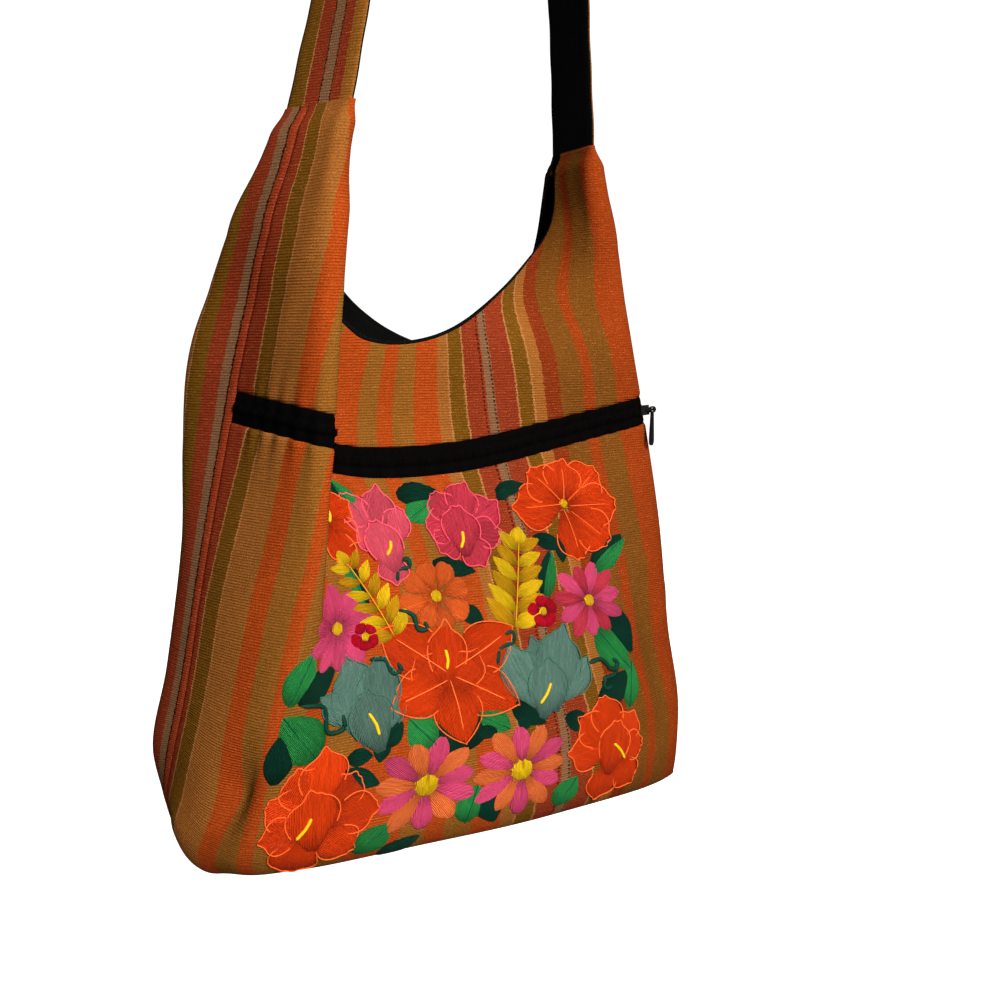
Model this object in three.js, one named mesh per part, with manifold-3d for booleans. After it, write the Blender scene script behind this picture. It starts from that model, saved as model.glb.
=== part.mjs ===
// Embroidered hobo bag: two striped cloth panels, a black lining, a zipped front pocket and a shoulder strap.
// Millimetres, +Z up, +X to the right as seen from the front, -Y to the front.
// The origin is where the strap hangs.
import * as THREE from 'three';
import Module from 'manifold-3d';
import { mergeVertices } from 'three/addons/utils/BufferGeometryUtils.js';

// Driving dimensions, heights measured from the lowest point of the hanging bag
const PANEL_WIDTH = 450;
const HORN_TOP = 532;
const SCOOP = { edge: 71, frontCentre: 216, frontLow: 378, backCentre: 290, backLow: 372, backPower: 1.5 };
const CLOTH = { thickness: 1.6, gap: 0.3, liningGap: 0.95, lining: 1, rim: 3, seamGap: 0.4, seamLift: 3 };
const BOTTOM = { turn: 42, flatness: 0.5, sectionFloor: 25 };
const LEFT_CORNER = { lift: 26, reach: 75, height: 150 };
const ZIP = { band: 22, tapeSink: 0.5, coilHeight: 1.2, coilBand: 5, coilFlank: 0.5 };
const STRAP = { width: 57, layer: 1.7, gap: 0.3, tuck: 14, leanLeft: 15, leanRight: 4, archRadius: 82 };
const SLIDER = { fromRightSeam: 9, length: 9, width: 8, thickness: 3.2, barHeight: 3.6, bar: 1.8, post: 1.4,
  sidePlay: 0.5, sill: 0.4, root: 0.5 };
const PULL = { length: 29, width: 7, thickness: 1.6, eyeOuter: 2.7, eyeInner: 1.6, eyeWidth: 3.4, hole: 1.75 };

// Closed horizontal sections of the bag's body, one row a height, one column a rib: [x, y] in plan
const RIBS = ['leftSeam', 'leftCrest', 'leftFold', 'leftValley', 'frontMiddle', 'rightFront', 'rightCrest',
  'rightSeam', 'rightBack', 'backRight', 'backMiddle', 'backLeft', 'leftBack'];
const SECTIONS = [
  { z: 25, ribs: [[-193, 6], [-170, -72], [-138, -83], [-95, -88], [20, -93], [140, -86], [203, -64],
    [218, -46], [203, 6], [128, 60], [0, 74], [-140, 70], [-201, 34]] },
  { z: 75, ribs: [[-196, 3], [-162, -76], [-130, -84], [-90, -86], [20, -92], [140, -84], [204, -63],
    [218, -45], [203, 9], [128, 62], [0, 76], [-140, 72], [-206, 35]] },
  { z: 140, ribs: [[-184, 0], [-138, -82], [-118, -84], [-90, -74], [20, -85], [134, -77], [195, -59],
    [206, -44], [193, 11], [121, 62], [0, 76], [-131, 71], [-193, 36]] },
  { z: 230, ribs: [[-166, 0], [-112, -80], [-100, -79], [-97, -54], [20, -68], [130, -62], [188, -52],
    [196, -42], [175, 12], [110, 56], [0, 68], [-120, 66], [-176, 40]] },
  { z: 302, ribs: [[-150, 0], [-105, -79], [-93, -79], [-102, -36], [20, -57], [120, -54], [175, -50],
    [182, -42], [160, 8], [100, 52], [0, 64], [-120, 62], [-172, 42]] },
  { z: 380, ribs: [[-135, -15], [-99, -84], [-87, -84], [-94, -40], [0, -55], [110, -52], [161, -47],
    [166, -38], [160, 20], [105, 52], [0, 60], [-115, 50], [-163, 28]] },
  { z: 452, ribs: [[-121, -46], [-93, -86], [-79, -84], [-86, -50], [0, -50], [96, 10], [153, -34],
    [157, -24], [141, 54], [104, 56], [0, 62], [-95, 18], [-137, 1]] },
];

// The two horns are flattened tubes: centre in plan, turn, half width, half thickness, side seam's place on it
const HORNS = {
  left: [
    { z: 420, x: -121, y: -36, turn: 31, halfWidth: 63, halfThickness: 17, seam: -4 },
    { z: 452, x: -111, y: -47, turn: 31, halfWidth: 54, halfThickness: 12, seam: -6 },
    { z: 512, x: -93, y: -56.5, turn: 31, halfWidth: 38, halfThickness: 7.8, seam: -9 },
    { z: HORN_TOP, x: -88, y: -55, turn: 31, halfWidth: 35, halfThickness: 7.2, seam: -10 },
  ],
  right: [
    { z: 420, x: 145, y: 20, turn: 12, halfWidth: 61, halfThickness: 17, seam: 44 },
    { z: 452, x: 144, y: 19, turn: 10, halfWidth: 53, halfThickness: 14, seam: 38 },
    { z: 512, x: 144.3, y: 16.5, turn: 3, halfWidth: 37, halfThickness: 9, seam: 27 },
    { z: HORN_TOP, x: 143, y: 16, turn: 3, halfWidth: 35, halfThickness: 7.8, seam: 25 },
  ],
};
const HORN_BLEND = { from: 400, to: 496 };
const MIDDLE_BLEND = { from: 105, to: 345 };

// Height of the zip's centre line at distances from the left side seam
const ZIP_LINE = [{ p: 0, z: 335 }, { p: 101, z: 322 }, { p: 185, z: 296 }, { p: 258, z: 296 },
  { p: 350, z: 309 }, { p: PANEL_WIDTH, z: 326 }];

// Soft dents pushed in (negative) or out of the front cloth: place, reach across and along, lean and depth
const DENTS = [
  { p: 78, z: 62, across: 13, along: 45, lean: 0.1, depth: -7 },
  { p: 408, z: 130, across: 12, along: 60, lean: 0, depth: -5 },
  { p: 424, z: 190, across: 9, along: 22, lean: -0.7, depth: 3 },
];

// Facets of the cloth: columns across a panel and rows up each stretch of it
const COLUMNS = [0, 9, 18, 25, 32, 39, 46, 53, 62, 71, 82, 94, 104, 112, 121, 132, 146, 164, 188, 216, 244,
  272, 298, 320, 337, 350, 358, 366, 372, 379, 386, 393, 400, 407, 414, 422, 431, 441, PANEL_WIDTH];
const ROWS = { turn: 3, lower: 5, zip: 1, upper: 6 };
const STRAP_STEPS = { tuck: 1, straight: 7, arch: 14 };
const PULL_SEGMENTS = { eye: 10, tab: 8 };

const smoothstep = THREE.MathUtils.smoothstep;
const degToRad = THREE.MathUtils.degToRad;

// Smooth value at place t of a table's column, through every row
function tableValue(rows, place, read, t) {
  const last = rows.length - 1;
  const clamped = Math.min(Math.max(t, rows[0][place]), rows[last][place]);
  let i = 0;
  while (i < last - 1 && clamped > rows[i + 1][place]) i += 1;
  const slope = (a, b) => (read(rows[b]) - read(rows[a])) / (rows[b][place] - rows[a][place]);
  const tangent = (k) => {
    if (k === 0) return slope(0, 1);
    if (k === last) return slope(last - 1, last);
    return (slope(k - 1, k) + slope(k, k + 1)) / 2;
  };
  const span = rows[i + 1][place] - rows[i][place];
  const u = (clamped - rows[i][place]) / span;
  const u2 = u * u;
  const u3 = u2 * u;
  return (2 * u3 - 3 * u2 + 1) * read(rows[i]) + (u3 - 2 * u2 + u) * span * tangent(i)
    + (3 * u2 - 2 * u3) * read(rows[i + 1]) + (u3 - u2) * span * tangent(i + 1);
}

// The closed section at height z, with the distance along it of every sampled point
const SAMPLES_A_RIB = 24;
const sectionCache = new Map();
function section(z) {
  const key = z.toFixed(3);
  if (!sectionCache.has(key)) {
    const points = RIBS.map((name, k) => new THREE.Vector3(
      tableValue(SECTIONS, 'z', (row) => row.ribs[k][0], z),
      tableValue(SECTIONS, 'z', (row) => row.ribs[k][1], z),
      0,
    ));
    const curve = new THREE.CatmullRomCurve3(points, true, 'centripetal');
    const samples = curve.getPoints(RIBS.length * SAMPLES_A_RIB);
    const lengths = [0];
    for (let i = 1; i < samples.length; i += 1) {
      lengths.push(lengths[i - 1] + samples[i].distanceTo(samples[i - 1]));
    }
    const rightSeam = lengths[RIBS.indexOf('rightSeam') * SAMPLES_A_RIB];
    sectionCache.set(key, { samples, lengths, rightSeam, total: lengths[lengths.length - 1] });
  }
  return sectionCache.get(key);
}

// Point at a distance along a section
function along({ samples, lengths, total }, distance) {
  const d = Math.min(Math.max(distance, 0), total);
  let lo = 0;
  let hi = lengths.length - 1;
  while (hi - lo > 1) {
    const mid = (lo + hi) >> 1;
    if (lengths[mid] <= d) lo = mid;
    else hi = mid;
  }
  const t = (d - lengths[lo]) / Math.max(lengths[hi] - lengths[lo], 1e-9);
  return samples[lo].clone().lerp(samples[hi], t);
}

// Plan point of the body at cloth distance p from the left side seam
function bodyPoint(side, p, z) {
  const s = section(z);
  const fromRight = PANEL_WIDTH - p;
  const front = side === 'front';
  const byLeft = along(s, front ? p : s.total - p);
  const byRight = along(s, front ? s.rightSeam - fromRight : s.rightSeam + fromRight);
  return byLeft.lerp(byRight, smoothstep(p, MIDDLE_BLEND.from, MIDDLE_BLEND.to));
}

// A horn's place and measures at height z
function hornAt(hand, z) {
  const value = (name) => tableValue(HORNS[hand], 'z', (row) => row[name], z);
  const turn = degToRad(value('turn'));
  const outward = hand === 'left' ? -1 : 1;
  return {
    centre: new THREE.Vector3(value('x'), value('y'), 0),
    across: new THREE.Vector3(Math.sin(turn), -Math.cos(turn), 0),
    outward: new THREE.Vector3(outward * Math.cos(turn), outward * Math.sin(turn), 0),
    halfWidth: value('halfWidth'),
    halfThickness: value('halfThickness'),
    seam: value('seam'),
  };
}

// Plan point of a horn's flattened tube at cloth distance p from its side seam
function hornPoint(hand, side, p, z) {
  const horn = hornAt(hand, z);
  const way = side === 'front' ? 1 : -1;
  const r = horn.halfThickness;
  const flat = horn.halfWidth - r;
  const outer = flat - way * horn.seam;
  const bend = Math.PI * r;
  let acrossPlace = horn.seam + way * p;
  let outPlace = r;
  if (p > outer + bend) {
    acrossPlace = way * (flat - (p - outer - bend));
    outPlace = -r;
  } else if (p > outer) {
    acrossPlace = way * (flat + r * Math.sin((p - outer) / r));
    outPlace = r * Math.cos((p - outer) / r);
  }
  return horn.centre.clone().addScaledVector(horn.across, acrossPlace).addScaledVector(horn.outward, outPlace);
}

// Plan point of the cloth's outer face: the body below, the two horns above
function clothPoint(side, p, z) {
  const body = bodyPoint(side, p, Math.max(z, BOTTOM.sectionFloor));
  const horn = smoothstep(z, HORN_BLEND.from, HORN_BLEND.to);
  if (horn === 0) return body;
  const left = p < PANEL_WIDTH / 2;
  const tube = hornPoint(left ? 'left' : 'right', side, left ? p : PANEL_WIDTH - p, z);
  return body.lerp(tube, horn);
}

// Height of the mouth's edge
function scoopHeight(side, p) {
  const centre = side === 'front' ? SCOOP.frontCentre : SCOOP.backCentre;
  const low = side === 'front' ? SCOOP.frontLow : SCOOP.backLow;
  const reach = p < centre ? centre - SCOOP.edge : PANEL_WIDTH - SCOOP.edge - centre;
  const d = Math.min(Math.abs(p - centre) / reach, 1);
  const rise = side === 'front' ? 1 - Math.sqrt(1 - d * d) : d ** SCOOP.backPower;
  return low + (HORN_TOP - low) * rise;
}

const zipHeight = (p) => tableValue(ZIP_LINE, 'p', (row) => row.z, p);

// How far the bag's lower left corner is drawn up towards its side seam
function cornerLift(p, z) {
  const nearSeam = 1 - smoothstep(p, 0, LEFT_CORNER.reach);
  const nearBottom = 1 - smoothstep(z, 0, LEFT_CORNER.height);
  return LEFT_CORNER.lift * nearSeam * nearBottom;
}

// One warp line of a panel, from the bottom seam to the mouth: the points of every row
function warpLine(side, p) {
  const seamEnd = (name) => {
    const k = RIBS.indexOf(name);
    return new THREE.Vector3(...SECTIONS[0].ribs[k], 0);
  };
  const share = p / PANEL_WIDTH;
  const bottomSeam = seamEnd('leftSeam').lerp(seamEnd('rightSeam'), share);
  const points = [];
  for (let i = 0; i < ROWS.turn; i += 1) {
    const angle = (i / ROWS.turn) * Math.PI / 2;
    const z = BOTTOM.turn * (1 - Math.cos(angle));
    const outer = clothPoint(side, p, z);
    const point = bottomSeam.clone().lerp(outer, Math.sin(angle) ** BOTTOM.flatness);
    points.push(point.setZ(z));
  }
  const zip = zipHeight(p);
  const stretches = [
    [BOTTOM.turn, zip - ZIP.band / 2, ROWS.lower],
    [zip - ZIP.band / 2, zip + ZIP.band / 2, ROWS.zip],
    [zip + ZIP.band / 2, scoopHeight(side, p), ROWS.upper],
  ];
  for (const [from, to, count] of stretches) {
    for (let i = 0; i < count; i += 1) {
      const z = from + (to - from) * (i / count);
      points.push(clothPoint(side, p, z).setZ(z));
    }
  }
  const top = scoopHeight(side, p);
  points.push(clothPoint(side, p, top).setZ(top));
  points.forEach((point) => point.setZ(point.z + cornerLift(p, point.z)));
  return points;
}

// Outward direction of the cloth's face, across a side seam too
const PROBE = { p: 1.5, z: 3 };
function outwardOf(side, p, z) {
  const place = (q, height) => {
    const over = q < 0 || q > PANEL_WIDTH;
    const other = side === 'front' ? 'back' : 'front';
    const mirrored = q < 0 ? -q : 2 * PANEL_WIDTH - q;
    return over ? clothPoint(other, mirrored, height) : clothPoint(side, q, height);
  };
  const acrossWay = place(p + PROBE.p, z).sub(place(p - PROBE.p, z));
  const high = Math.min(z + PROBE.z, HORN_TOP);
  const upWay = clothPoint(side, p, high).setZ(high).sub(clothPoint(side, p, z - PROBE.z).setZ(z - PROBE.z));
  const out = acrossWay.cross(upWay).normalize();
  return side === 'front' ? out : out.negate();
}

// Outward direction under the bag, where its cloth turns in to the bottom seam
function outwardBelow(lines, c, r) {
  const count = lines.length;
  const line = lines[c];
  const acrossWay = lines[(c + 1) % count][r].clone().sub(lines[(c - 1 + count) % count][r]);
  return acrossWay.cross(line[r + 1].clone().sub(line[r - 1])).normalize();
}

// Outward step of every point of the ring: straight down along the bottom seam, out at its two ends
const SEAM_END_RUN = 0.1;
function outwardSteps(columns, lines) {
  const bottomStep = (line, c) => {
    const sideSeam = Math.hypot(line[1].x - line[0].x, line[1].y - line[0].y) < SEAM_END_RUN;
    return sideSeam ? outwardBelow(lines, c, 1).setZ(-1) : new THREE.Vector3(0, 0, -1);
  };
  return lines.map((line, c) => line.map((point, r) => {
    if (r === 0) return bottomStep(line, c);
    if (r <= ROWS.turn) return outwardBelow(lines, c, r);
    return outwardOf(columns[c].side, columns[c].p, point.z);
  }));
}

// Pushes the front cloth in or out at its dents
function dentDepth(p, z) {
  return DENTS.reduce((sum, dent) => {
    const u = (p - dent.p - dent.lean * (z - dent.z)) / dent.across;
    const v = (z - dent.z) / dent.along;
    return sum + dent.depth * Math.exp(-(u * u + v * v));
  }, 0);
}

// The whole bag as a ring of warp lines: front from left to right, then back from right to left
function buildRing() {
  const front = COLUMNS.map((p) => ({ side: 'front', p }));
  const back = COLUMNS.slice(1, -1).reverse().map((p) => ({ side: 'back', p }));
  const columns = [...front, ...back];
  const lines = columns.map(({ side, p }) => warpLine(side, p));
  const steps = outwardSteps(columns, lines);
  lines.forEach((line, c) => line.forEach((point, r) => {
    if (columns[c].side === 'front') point.addScaledVector(steps[c][r], dentDepth(columns[c].p, point.z));
  }));
  return { lines, steps };
}

// Closed solid between an outer and an inner grid of points, with its rim
function sheetSolid(outer, inner) {
  const columns = outer.length;
  const rows = outer[0].length;
  const positions = [...outer.flat(), ...inner.flat()].flatMap((v) => [v.x, v.y, v.z]);
  const index = [];
  const at = (layer, c, r) => layer * columns * rows + c * rows + r;
  const quad = (a, b, c, d) => index.push(a, b, c, a, c, d);
  for (let c = 0; c < columns - 1; c += 1) {
    for (let r = 0; r < rows - 1; r += 1) {
      quad(at(0, c, r), at(0, c + 1, r), at(0, c + 1, r + 1), at(0, c, r + 1));
      quad(at(1, c, r), at(1, c, r + 1), at(1, c + 1, r + 1), at(1, c + 1, r));
    }
    quad(at(0, c, 0), at(1, c, 0), at(1, c + 1, 0), at(0, c + 1, 0));
    const t = rows - 1;
    quad(at(0, c, t), at(0, c + 1, t), at(1, c + 1, t), at(1, c, t));
  }
  for (let r = 0; r < rows - 1; r += 1) {
    quad(at(0, 0, r), at(0, 0, r + 1), at(1, 0, r + 1), at(1, 0, r));
    const e = columns - 1;
    quad(at(0, e, r), at(1, e, r), at(1, e, r + 1), at(0, e, r + 1));
  }
  return closedGeometry(positions, index);
}

function closedGeometry(positions, index) {
  const geometry = new THREE.BufferGeometry();
  geometry.setAttribute('position', new THREE.Float32BufferAttribute(positions, 3));
  geometry.setIndex(index);
  return geometry;
}

// A stretch of the ring's columns and rows as points, at a depth below the cloth's outer face
function ringPart(columns, rows, depth) {
  return columns.map((c) => rows.map((r) => ring.lines[c][r].clone()
    .addScaledVector(ring.steps[c][r], -depth)));
}

// Draws a panel's ends in from the seams, so that neighbouring pieces keep clear of each other
function clearSeams(grid, { sides, low, high }) {
  const pull = (from, to, by) => from.add(to.clone().sub(from).setLength(by));
  const last = grid.length - 1;
  const top = grid[0].length - 1;
  if (sides) {
    grid[0].forEach((point, r) => pull(point, grid[1][r], CLOTH.seamGap));
    grid[last].forEach((point, r) => pull(point, grid[last - 1][r], CLOTH.seamGap));
  }
  if (low) grid.forEach((line) => pull(line[0], line[1], low));
  if (high) grid.forEach((line) => pull(line[top], line[top - 1], high));
  return grid;
}

const range = (from, to) => Array.from({ length: to - from + 1 }, (unused, i) => from + i);

const ring = buildRing();
const FRONT = range(0, COLUMNS.length - 1);
const BACK = [...range(COLUMNS.length - 1, ring.lines.length - 1), 0];
const ROW = {
  bottom: 0,
  zipLow: ROWS.turn + ROWS.lower,
  zipHigh: ROWS.turn + ROWS.lower + ROWS.zip,
  mouth: ROWS.turn + ROWS.lower + ROWS.zip + ROWS.upper,
};

function clothPanel(columns, fromRow, toRow, ends) {
  const rows = range(fromRow, toRow);
  const outer = clearSeams(ringPart(columns, rows, 0), ends);
  const inner = clearSeams(ringPart(columns, rows, CLOTH.thickness), ends);
  return sheetSolid(outer, inner);
}

// The lining: a bag-shaped sheet inside the panels, whose rim stands above their edges
function liningGeometry() {
  const rows = range(ROW.bottom, ROW.mouth);
  const columns = range(0, ring.lines.length - 1);
  const near = CLOTH.thickness + CLOTH.liningGap;
  const layers = [near, near + CLOTH.lining].map((depth) => {
    const grid = ringPart(columns, rows, depth);
    grid.forEach((line) => {
      line[0].z += CLOTH.seamLift;
      const top = line[line.length - 1];
      const way = top.clone().sub(line[line.length - 2]).normalize();
      if (top.z + CLOTH.rim > HORN_TOP) top.addScaledVector(way, -CLOTH.rim - CLOTH.gap);
      line.push(top.clone().addScaledVector(way, CLOTH.rim));
    });
    return grid;
  });
  return ringSolid(layers[0], layers[1]);
}

// Closed bag-shaped solid between two rings of lines, closed along the bottom seam
function ringSolid(outer, inner) {
  const columns = outer.length;
  const rows = outer[0].length;
  const positions = [...outer.flat(), ...inner.flat()].flatMap((v) => [v.x, v.y, v.z]);
  const index = [];
  const at = (layer, c, r) => {
    const column = r === 0 ? Math.min(c % columns, (columns - (c % columns)) % columns) : c % columns;
    return layer * columns * rows + column * rows + r;
  };
  const triangle = (a, b, c) => {
    if (a !== b && b !== c && c !== a) index.push(a, b, c);
  };
  const quad = (a, b, c, d) => {
    triangle(a, b, c);
    triangle(a, c, d);
  };
  for (let c = 0; c < columns; c += 1) {
    for (let r = 0; r < rows - 1; r += 1) {
      quad(at(0, c, r), at(0, c + 1, r), at(0, c + 1, r + 1), at(0, c, r + 1));
      quad(at(1, c, r), at(1, c, r + 1), at(1, c + 1, r + 1), at(1, c + 1, r));
    }
    const t = rows - 1;
    quad(at(0, c, t), at(0, c + 1, t), at(1, c + 1, t), at(1, c, t));
  }
  return closedGeometry(positions, index);
}

// The zip: two tapes set just below the cloth's face, with the coil standing up along their middle
function zipGeometry() {
  const coilHalf = ZIP.coilBand / 2;
  const middle = ZIP.band / 2;
  const profile = [
    { at: CLOTH.gap, out: -ZIP.tapeSink },
    { at: middle - coilHalf - ZIP.coilFlank, out: -ZIP.tapeSink },
    { at: middle - coilHalf, out: ZIP.coilHeight },
    { at: middle + coilHalf, out: ZIP.coilHeight },
    { at: middle + coilHalf + ZIP.coilFlank, out: -ZIP.tapeSink },
    { at: ZIP.band - CLOTH.gap, out: -ZIP.tapeSink },
  ];
  const grid = (outAt) => FRONT.map((c) => profile.map(({ at, out }) => {
    const share = at / ZIP.band;
    const step = ring.steps[c][ROW.zipLow].clone().lerp(ring.steps[c][ROW.zipHigh], share);
    return ring.lines[c][ROW.zipLow].clone().lerp(ring.lines[c][ROW.zipHigh], share)
      .addScaledVector(step, outAt(out));
  }));
  const ends = { sides: true };
  return sheetSolid(clearSeams(grid((out) => out), ends), clearSeams(grid(() => -CLOTH.thickness), ends));
}

// The strap's middle line: up from the left horn, round an arch and down to the right horn
function strapStations() {
  const from = hornAt('left', HORN_TOP).centre;
  const to = hornAt('right', HORN_TOP).centre;
  const span = from.distanceTo(to);
  const spanWay = to.clone().sub(from).normalize();
  const left = degToRad(STRAP.leanLeft);
  const right = degToRad(STRAP.leanRight);
  const r = STRAP.archRadius;
  const rise = (span * Math.cos(right) - r - r * Math.cos(right) / Math.cos(left))
    / (Math.sin(right) + Math.tan(left) * Math.cos(right));
  const run = (r + rise * Math.sin(left)) / Math.cos(left);
  const leftLength = run * Math.sin(left) + rise * Math.cos(left);
  const rightLength = (span - run) * Math.sin(right) + rise * Math.cos(right);
  const flat = [];
  const steps = (a, b, count, place) => {
    for (let i = 0; i < count; i += 1) flat.push(place(a + (b - a) * (i / count)));
  };
  steps(-STRAP.tuck, 0, STRAP_STEPS.tuck, (t) => [t * Math.sin(left), t * Math.cos(left)]);
  steps(0, leftLength, STRAP_STEPS.straight, (t) => [t * Math.sin(left), t * Math.cos(left)]);
  steps(Math.PI - left, right, STRAP_STEPS.arch, (a) => [run + r * Math.cos(a), rise + r * Math.sin(a)]);
  steps(rightLength, 0, STRAP_STEPS.straight, (t) => [span - t * Math.sin(right), t * Math.cos(right)]);
  steps(0, -STRAP.tuck, STRAP_STEPS.tuck, (t) => [span - t * Math.sin(right), t * Math.cos(right)]);
  flat.push([span + STRAP.tuck * Math.sin(right), -STRAP.tuck * Math.cos(right)]);
  const points = flat.map(([e, h]) => from.clone().addScaledVector(spanWay, e).setZ(HORN_TOP + h));
  const turns = ['left', 'right'].map((hand) => HORNS[hand][HORNS[hand].length - 1].turn);
  const stations = points.map((point, i) => {
    const next = points[Math.min(i + 1, points.length - 1)];
    const tangent = next.clone().sub(points[Math.max(i - 1, 0)]).normalize();
    const share = (i - STRAP_STEPS.tuck) / STRAP_STEPS.straight;
    const turn = degToRad(THREE.MathUtils.lerp(turns[0], turns[1], smoothstep(share, 0, 1)));
    const across = new THREE.Vector3(Math.sin(turn), -Math.cos(turn), 0);
    across.addScaledVector(tangent, -across.dot(tangent)).normalize();
    return { point, across, outward: across.clone().cross(tangent) };
  });
  return { stations, hangPoint: from.clone().addScaledVector(spanWay, run).setZ(HORN_TOP + rise + r) };
}

const strap = strapStations();

// One layer of the strap, between two distances from its middle line
function strapLayer(inner, outer) {
  const face = (distance) => strap.stations.map(({ point, across, outward }) => [0.5, -0.5].map((share) => (
    point.clone().addScaledVector(across, share * STRAP.width).addScaledVector(outward, distance))));
  return sheetSolid(face(outer), face(inner));
}

// Joins closed geometries into one solid
const wasm = await Module();
wasm.setup();
function joined(geometries) {
  const solids = geometries.map((geometry) => {
    const bare = geometry.clone();
    bare.deleteAttribute('normal');
    bare.deleteAttribute('uv');
    const merged = mergeVertices(bare, 1e-4);
    return new wasm.Manifold(new wasm.Mesh({
      numProp: 3,
      vertProperties: new Float32Array(merged.attributes.position.array),
      triVerts: new Uint32Array(merged.index.array),
    }));
  });
  const mesh = solids.reduce((a, b) => a.add(b)).getMesh();
  return closedGeometry(Array.from(mesh.vertProperties), Array.from(mesh.triVerts));
}

// The slider, flat on the coil: a body and the arched bar that carries the pull.
// x runs along the zip, z outward
const SLIDER_FOOT = ZIP.coilHeight + CLOTH.gap;
const SLIDER_TOP = SLIDER_FOOT + SLIDER.thickness;
const BAR_HEIGHT = SLIDER_TOP + SLIDER.barHeight + SLIDER.bar / 2;
function sliderGeometry() {
  const body = new THREE.BoxGeometry(SLIDER.length, SLIDER.width, SLIDER.thickness);
  body.translate(0, 0, SLIDER_FOOT + SLIDER.thickness / 2);
  const halfWindow = PULL.eyeWidth / 2 + SLIDER.sidePlay;
  const half = halfWindow + SLIDER.post;
  const top = BAR_HEIGHT + SLIDER.bar / 2;
  const root = SLIDER_TOP - SLIDER.root;
  const sill = SLIDER_TOP + SLIDER.sill;
  const arch = new THREE.Shape([
    new THREE.Vector2(-half, root), new THREE.Vector2(half, root),
    new THREE.Vector2(half, top), new THREE.Vector2(-half, top),
  ]);
  arch.holes.push(new THREE.Path([
    new THREE.Vector2(-halfWindow, sill), new THREE.Vector2(-halfWindow, top - SLIDER.bar),
    new THREE.Vector2(halfWindow, top - SLIDER.bar), new THREE.Vector2(halfWindow, sill),
  ]));
  const crown = new THREE.ExtrudeGeometry(arch, { depth: SLIDER.bar, bevelEnabled: false });
  crown.rotateX(Math.PI / 2);
  crown.translate(0, SLIDER.bar / 2, 0);
  return joined([body, crown]);
}

// The pull, about its bar: an eye round the bar and a tab with a hole at its end, hanging along -y
function pullGeometry() {
  const ringShape = new THREE.Shape().absarc(0, 0, PULL.eyeOuter, 0, 2 * Math.PI, false);
  ringShape.holes.push(new THREE.Path().absarc(0, 0, PULL.eyeInner, 0, 2 * Math.PI, true));
  const plain = (depth, curveSegments) => ({ depth, curveSegments, bevelEnabled: false });
  const eye = new THREE.ExtrudeGeometry(ringShape, plain(PULL.eyeWidth, PULL_SEGMENTS.eye));
  eye.rotateY(Math.PI / 2);
  eye.translate(-PULL.eyeWidth / 2, 0, 0);
  const neck = PULL.eyeWidth / 2;
  const half = PULL.width / 2;
  const start = -(PULL.eyeInner + PULL.eyeOuter) / 2;
  const end = -PULL.length + half;
  const tab = new THREE.Shape();
  tab.moveTo(-neck, start);
  tab.lineTo(-half, end + half);
  tab.lineTo(-half, end);
  tab.absarc(0, end, half, Math.PI, 2 * Math.PI, false);
  tab.lineTo(half, end + half);
  tab.lineTo(neck, start);
  tab.holes.push(new THREE.Path().absarc(0, end, PULL.hole, 0, 2 * Math.PI, true));
  const plate = new THREE.ExtrudeGeometry(tab, plain(PULL.thickness, PULL_SEGMENTS.tab));
  plate.translate(0, 0, -PULL.thickness / 2);
  return joined([eye, plate]);
}

// Frame on the front cloth: x along the zip to the right, y up the cloth, z out of it
const FRAME_PROBE = { p: 2, z: 4 };
function clothFrame(p) {
  const z = zipHeight(p);
  const at = (dp, dz) => clothPoint('front', p + dp, z + dz).setZ(z + dz);
  const x = at(FRAME_PROBE.p, 0).sub(at(-FRAME_PROBE.p, 0)).normalize();
  const out = x.clone().cross(at(0, FRAME_PROBE.z).sub(at(0, -FRAME_PROBE.z))).normalize();
  return new THREE.Matrix4().makeBasis(x, out.clone().cross(x), out).setPosition(at(0, 0));
}

const FINISH = {
  cloth: { color: 0xb5622c, roughness: 0.9, metalness: 0 },
  black: { color: 0x14110f, roughness: 0.85, metalness: 0 },
  metal: { color: 0x1c1a19, roughness: 0.45, metalness: 0.6 },
};
function piece(name, geometry, finish) {
  const mesh = new THREE.Mesh(geometry, new THREE.MeshStandardMaterial(finish));
  mesh.name = name;
  return mesh;
}

// Assembly: the pull hangs plumb from the slider's bar
const group = new THREE.Group();
const strapUnderside = STRAP.gap / 2 + STRAP.layer;
group.position.copy(strap.hangPoint).sub(new THREE.Vector3(0, 0, strapUnderside)).negate();

const bag = new THREE.Group();
const clearLow = { sides: true, low: CLOTH.seamGap };
bag.add(piece('pocket_panel', clothPanel(FRONT, ROW.bottom, ROW.zipLow, clearLow), FINISH.cloth));
bag.add(piece('front_yoke', clothPanel(FRONT, ROW.zipHigh, ROW.mouth, { sides: true }), FINISH.cloth));
bag.add(piece('back_panel', clothPanel(BACK, ROW.bottom, ROW.mouth, clearLow), FINISH.cloth));
bag.add(piece('lining', liningGeometry(), FINISH.black));
bag.add(piece('zip_tape', zipGeometry(), FINISH.black));
group.add(bag);

const shoulderStrap = new THREE.Group();
shoulderStrap.add(piece('strap_outer', strapLayer(STRAP.gap / 2, strapUnderside), FINISH.cloth));
shoulderStrap.add(piece('strap_lining', strapLayer(-strapUnderside, -STRAP.gap / 2), FINISH.black));
group.add(shoulderStrap);

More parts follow.
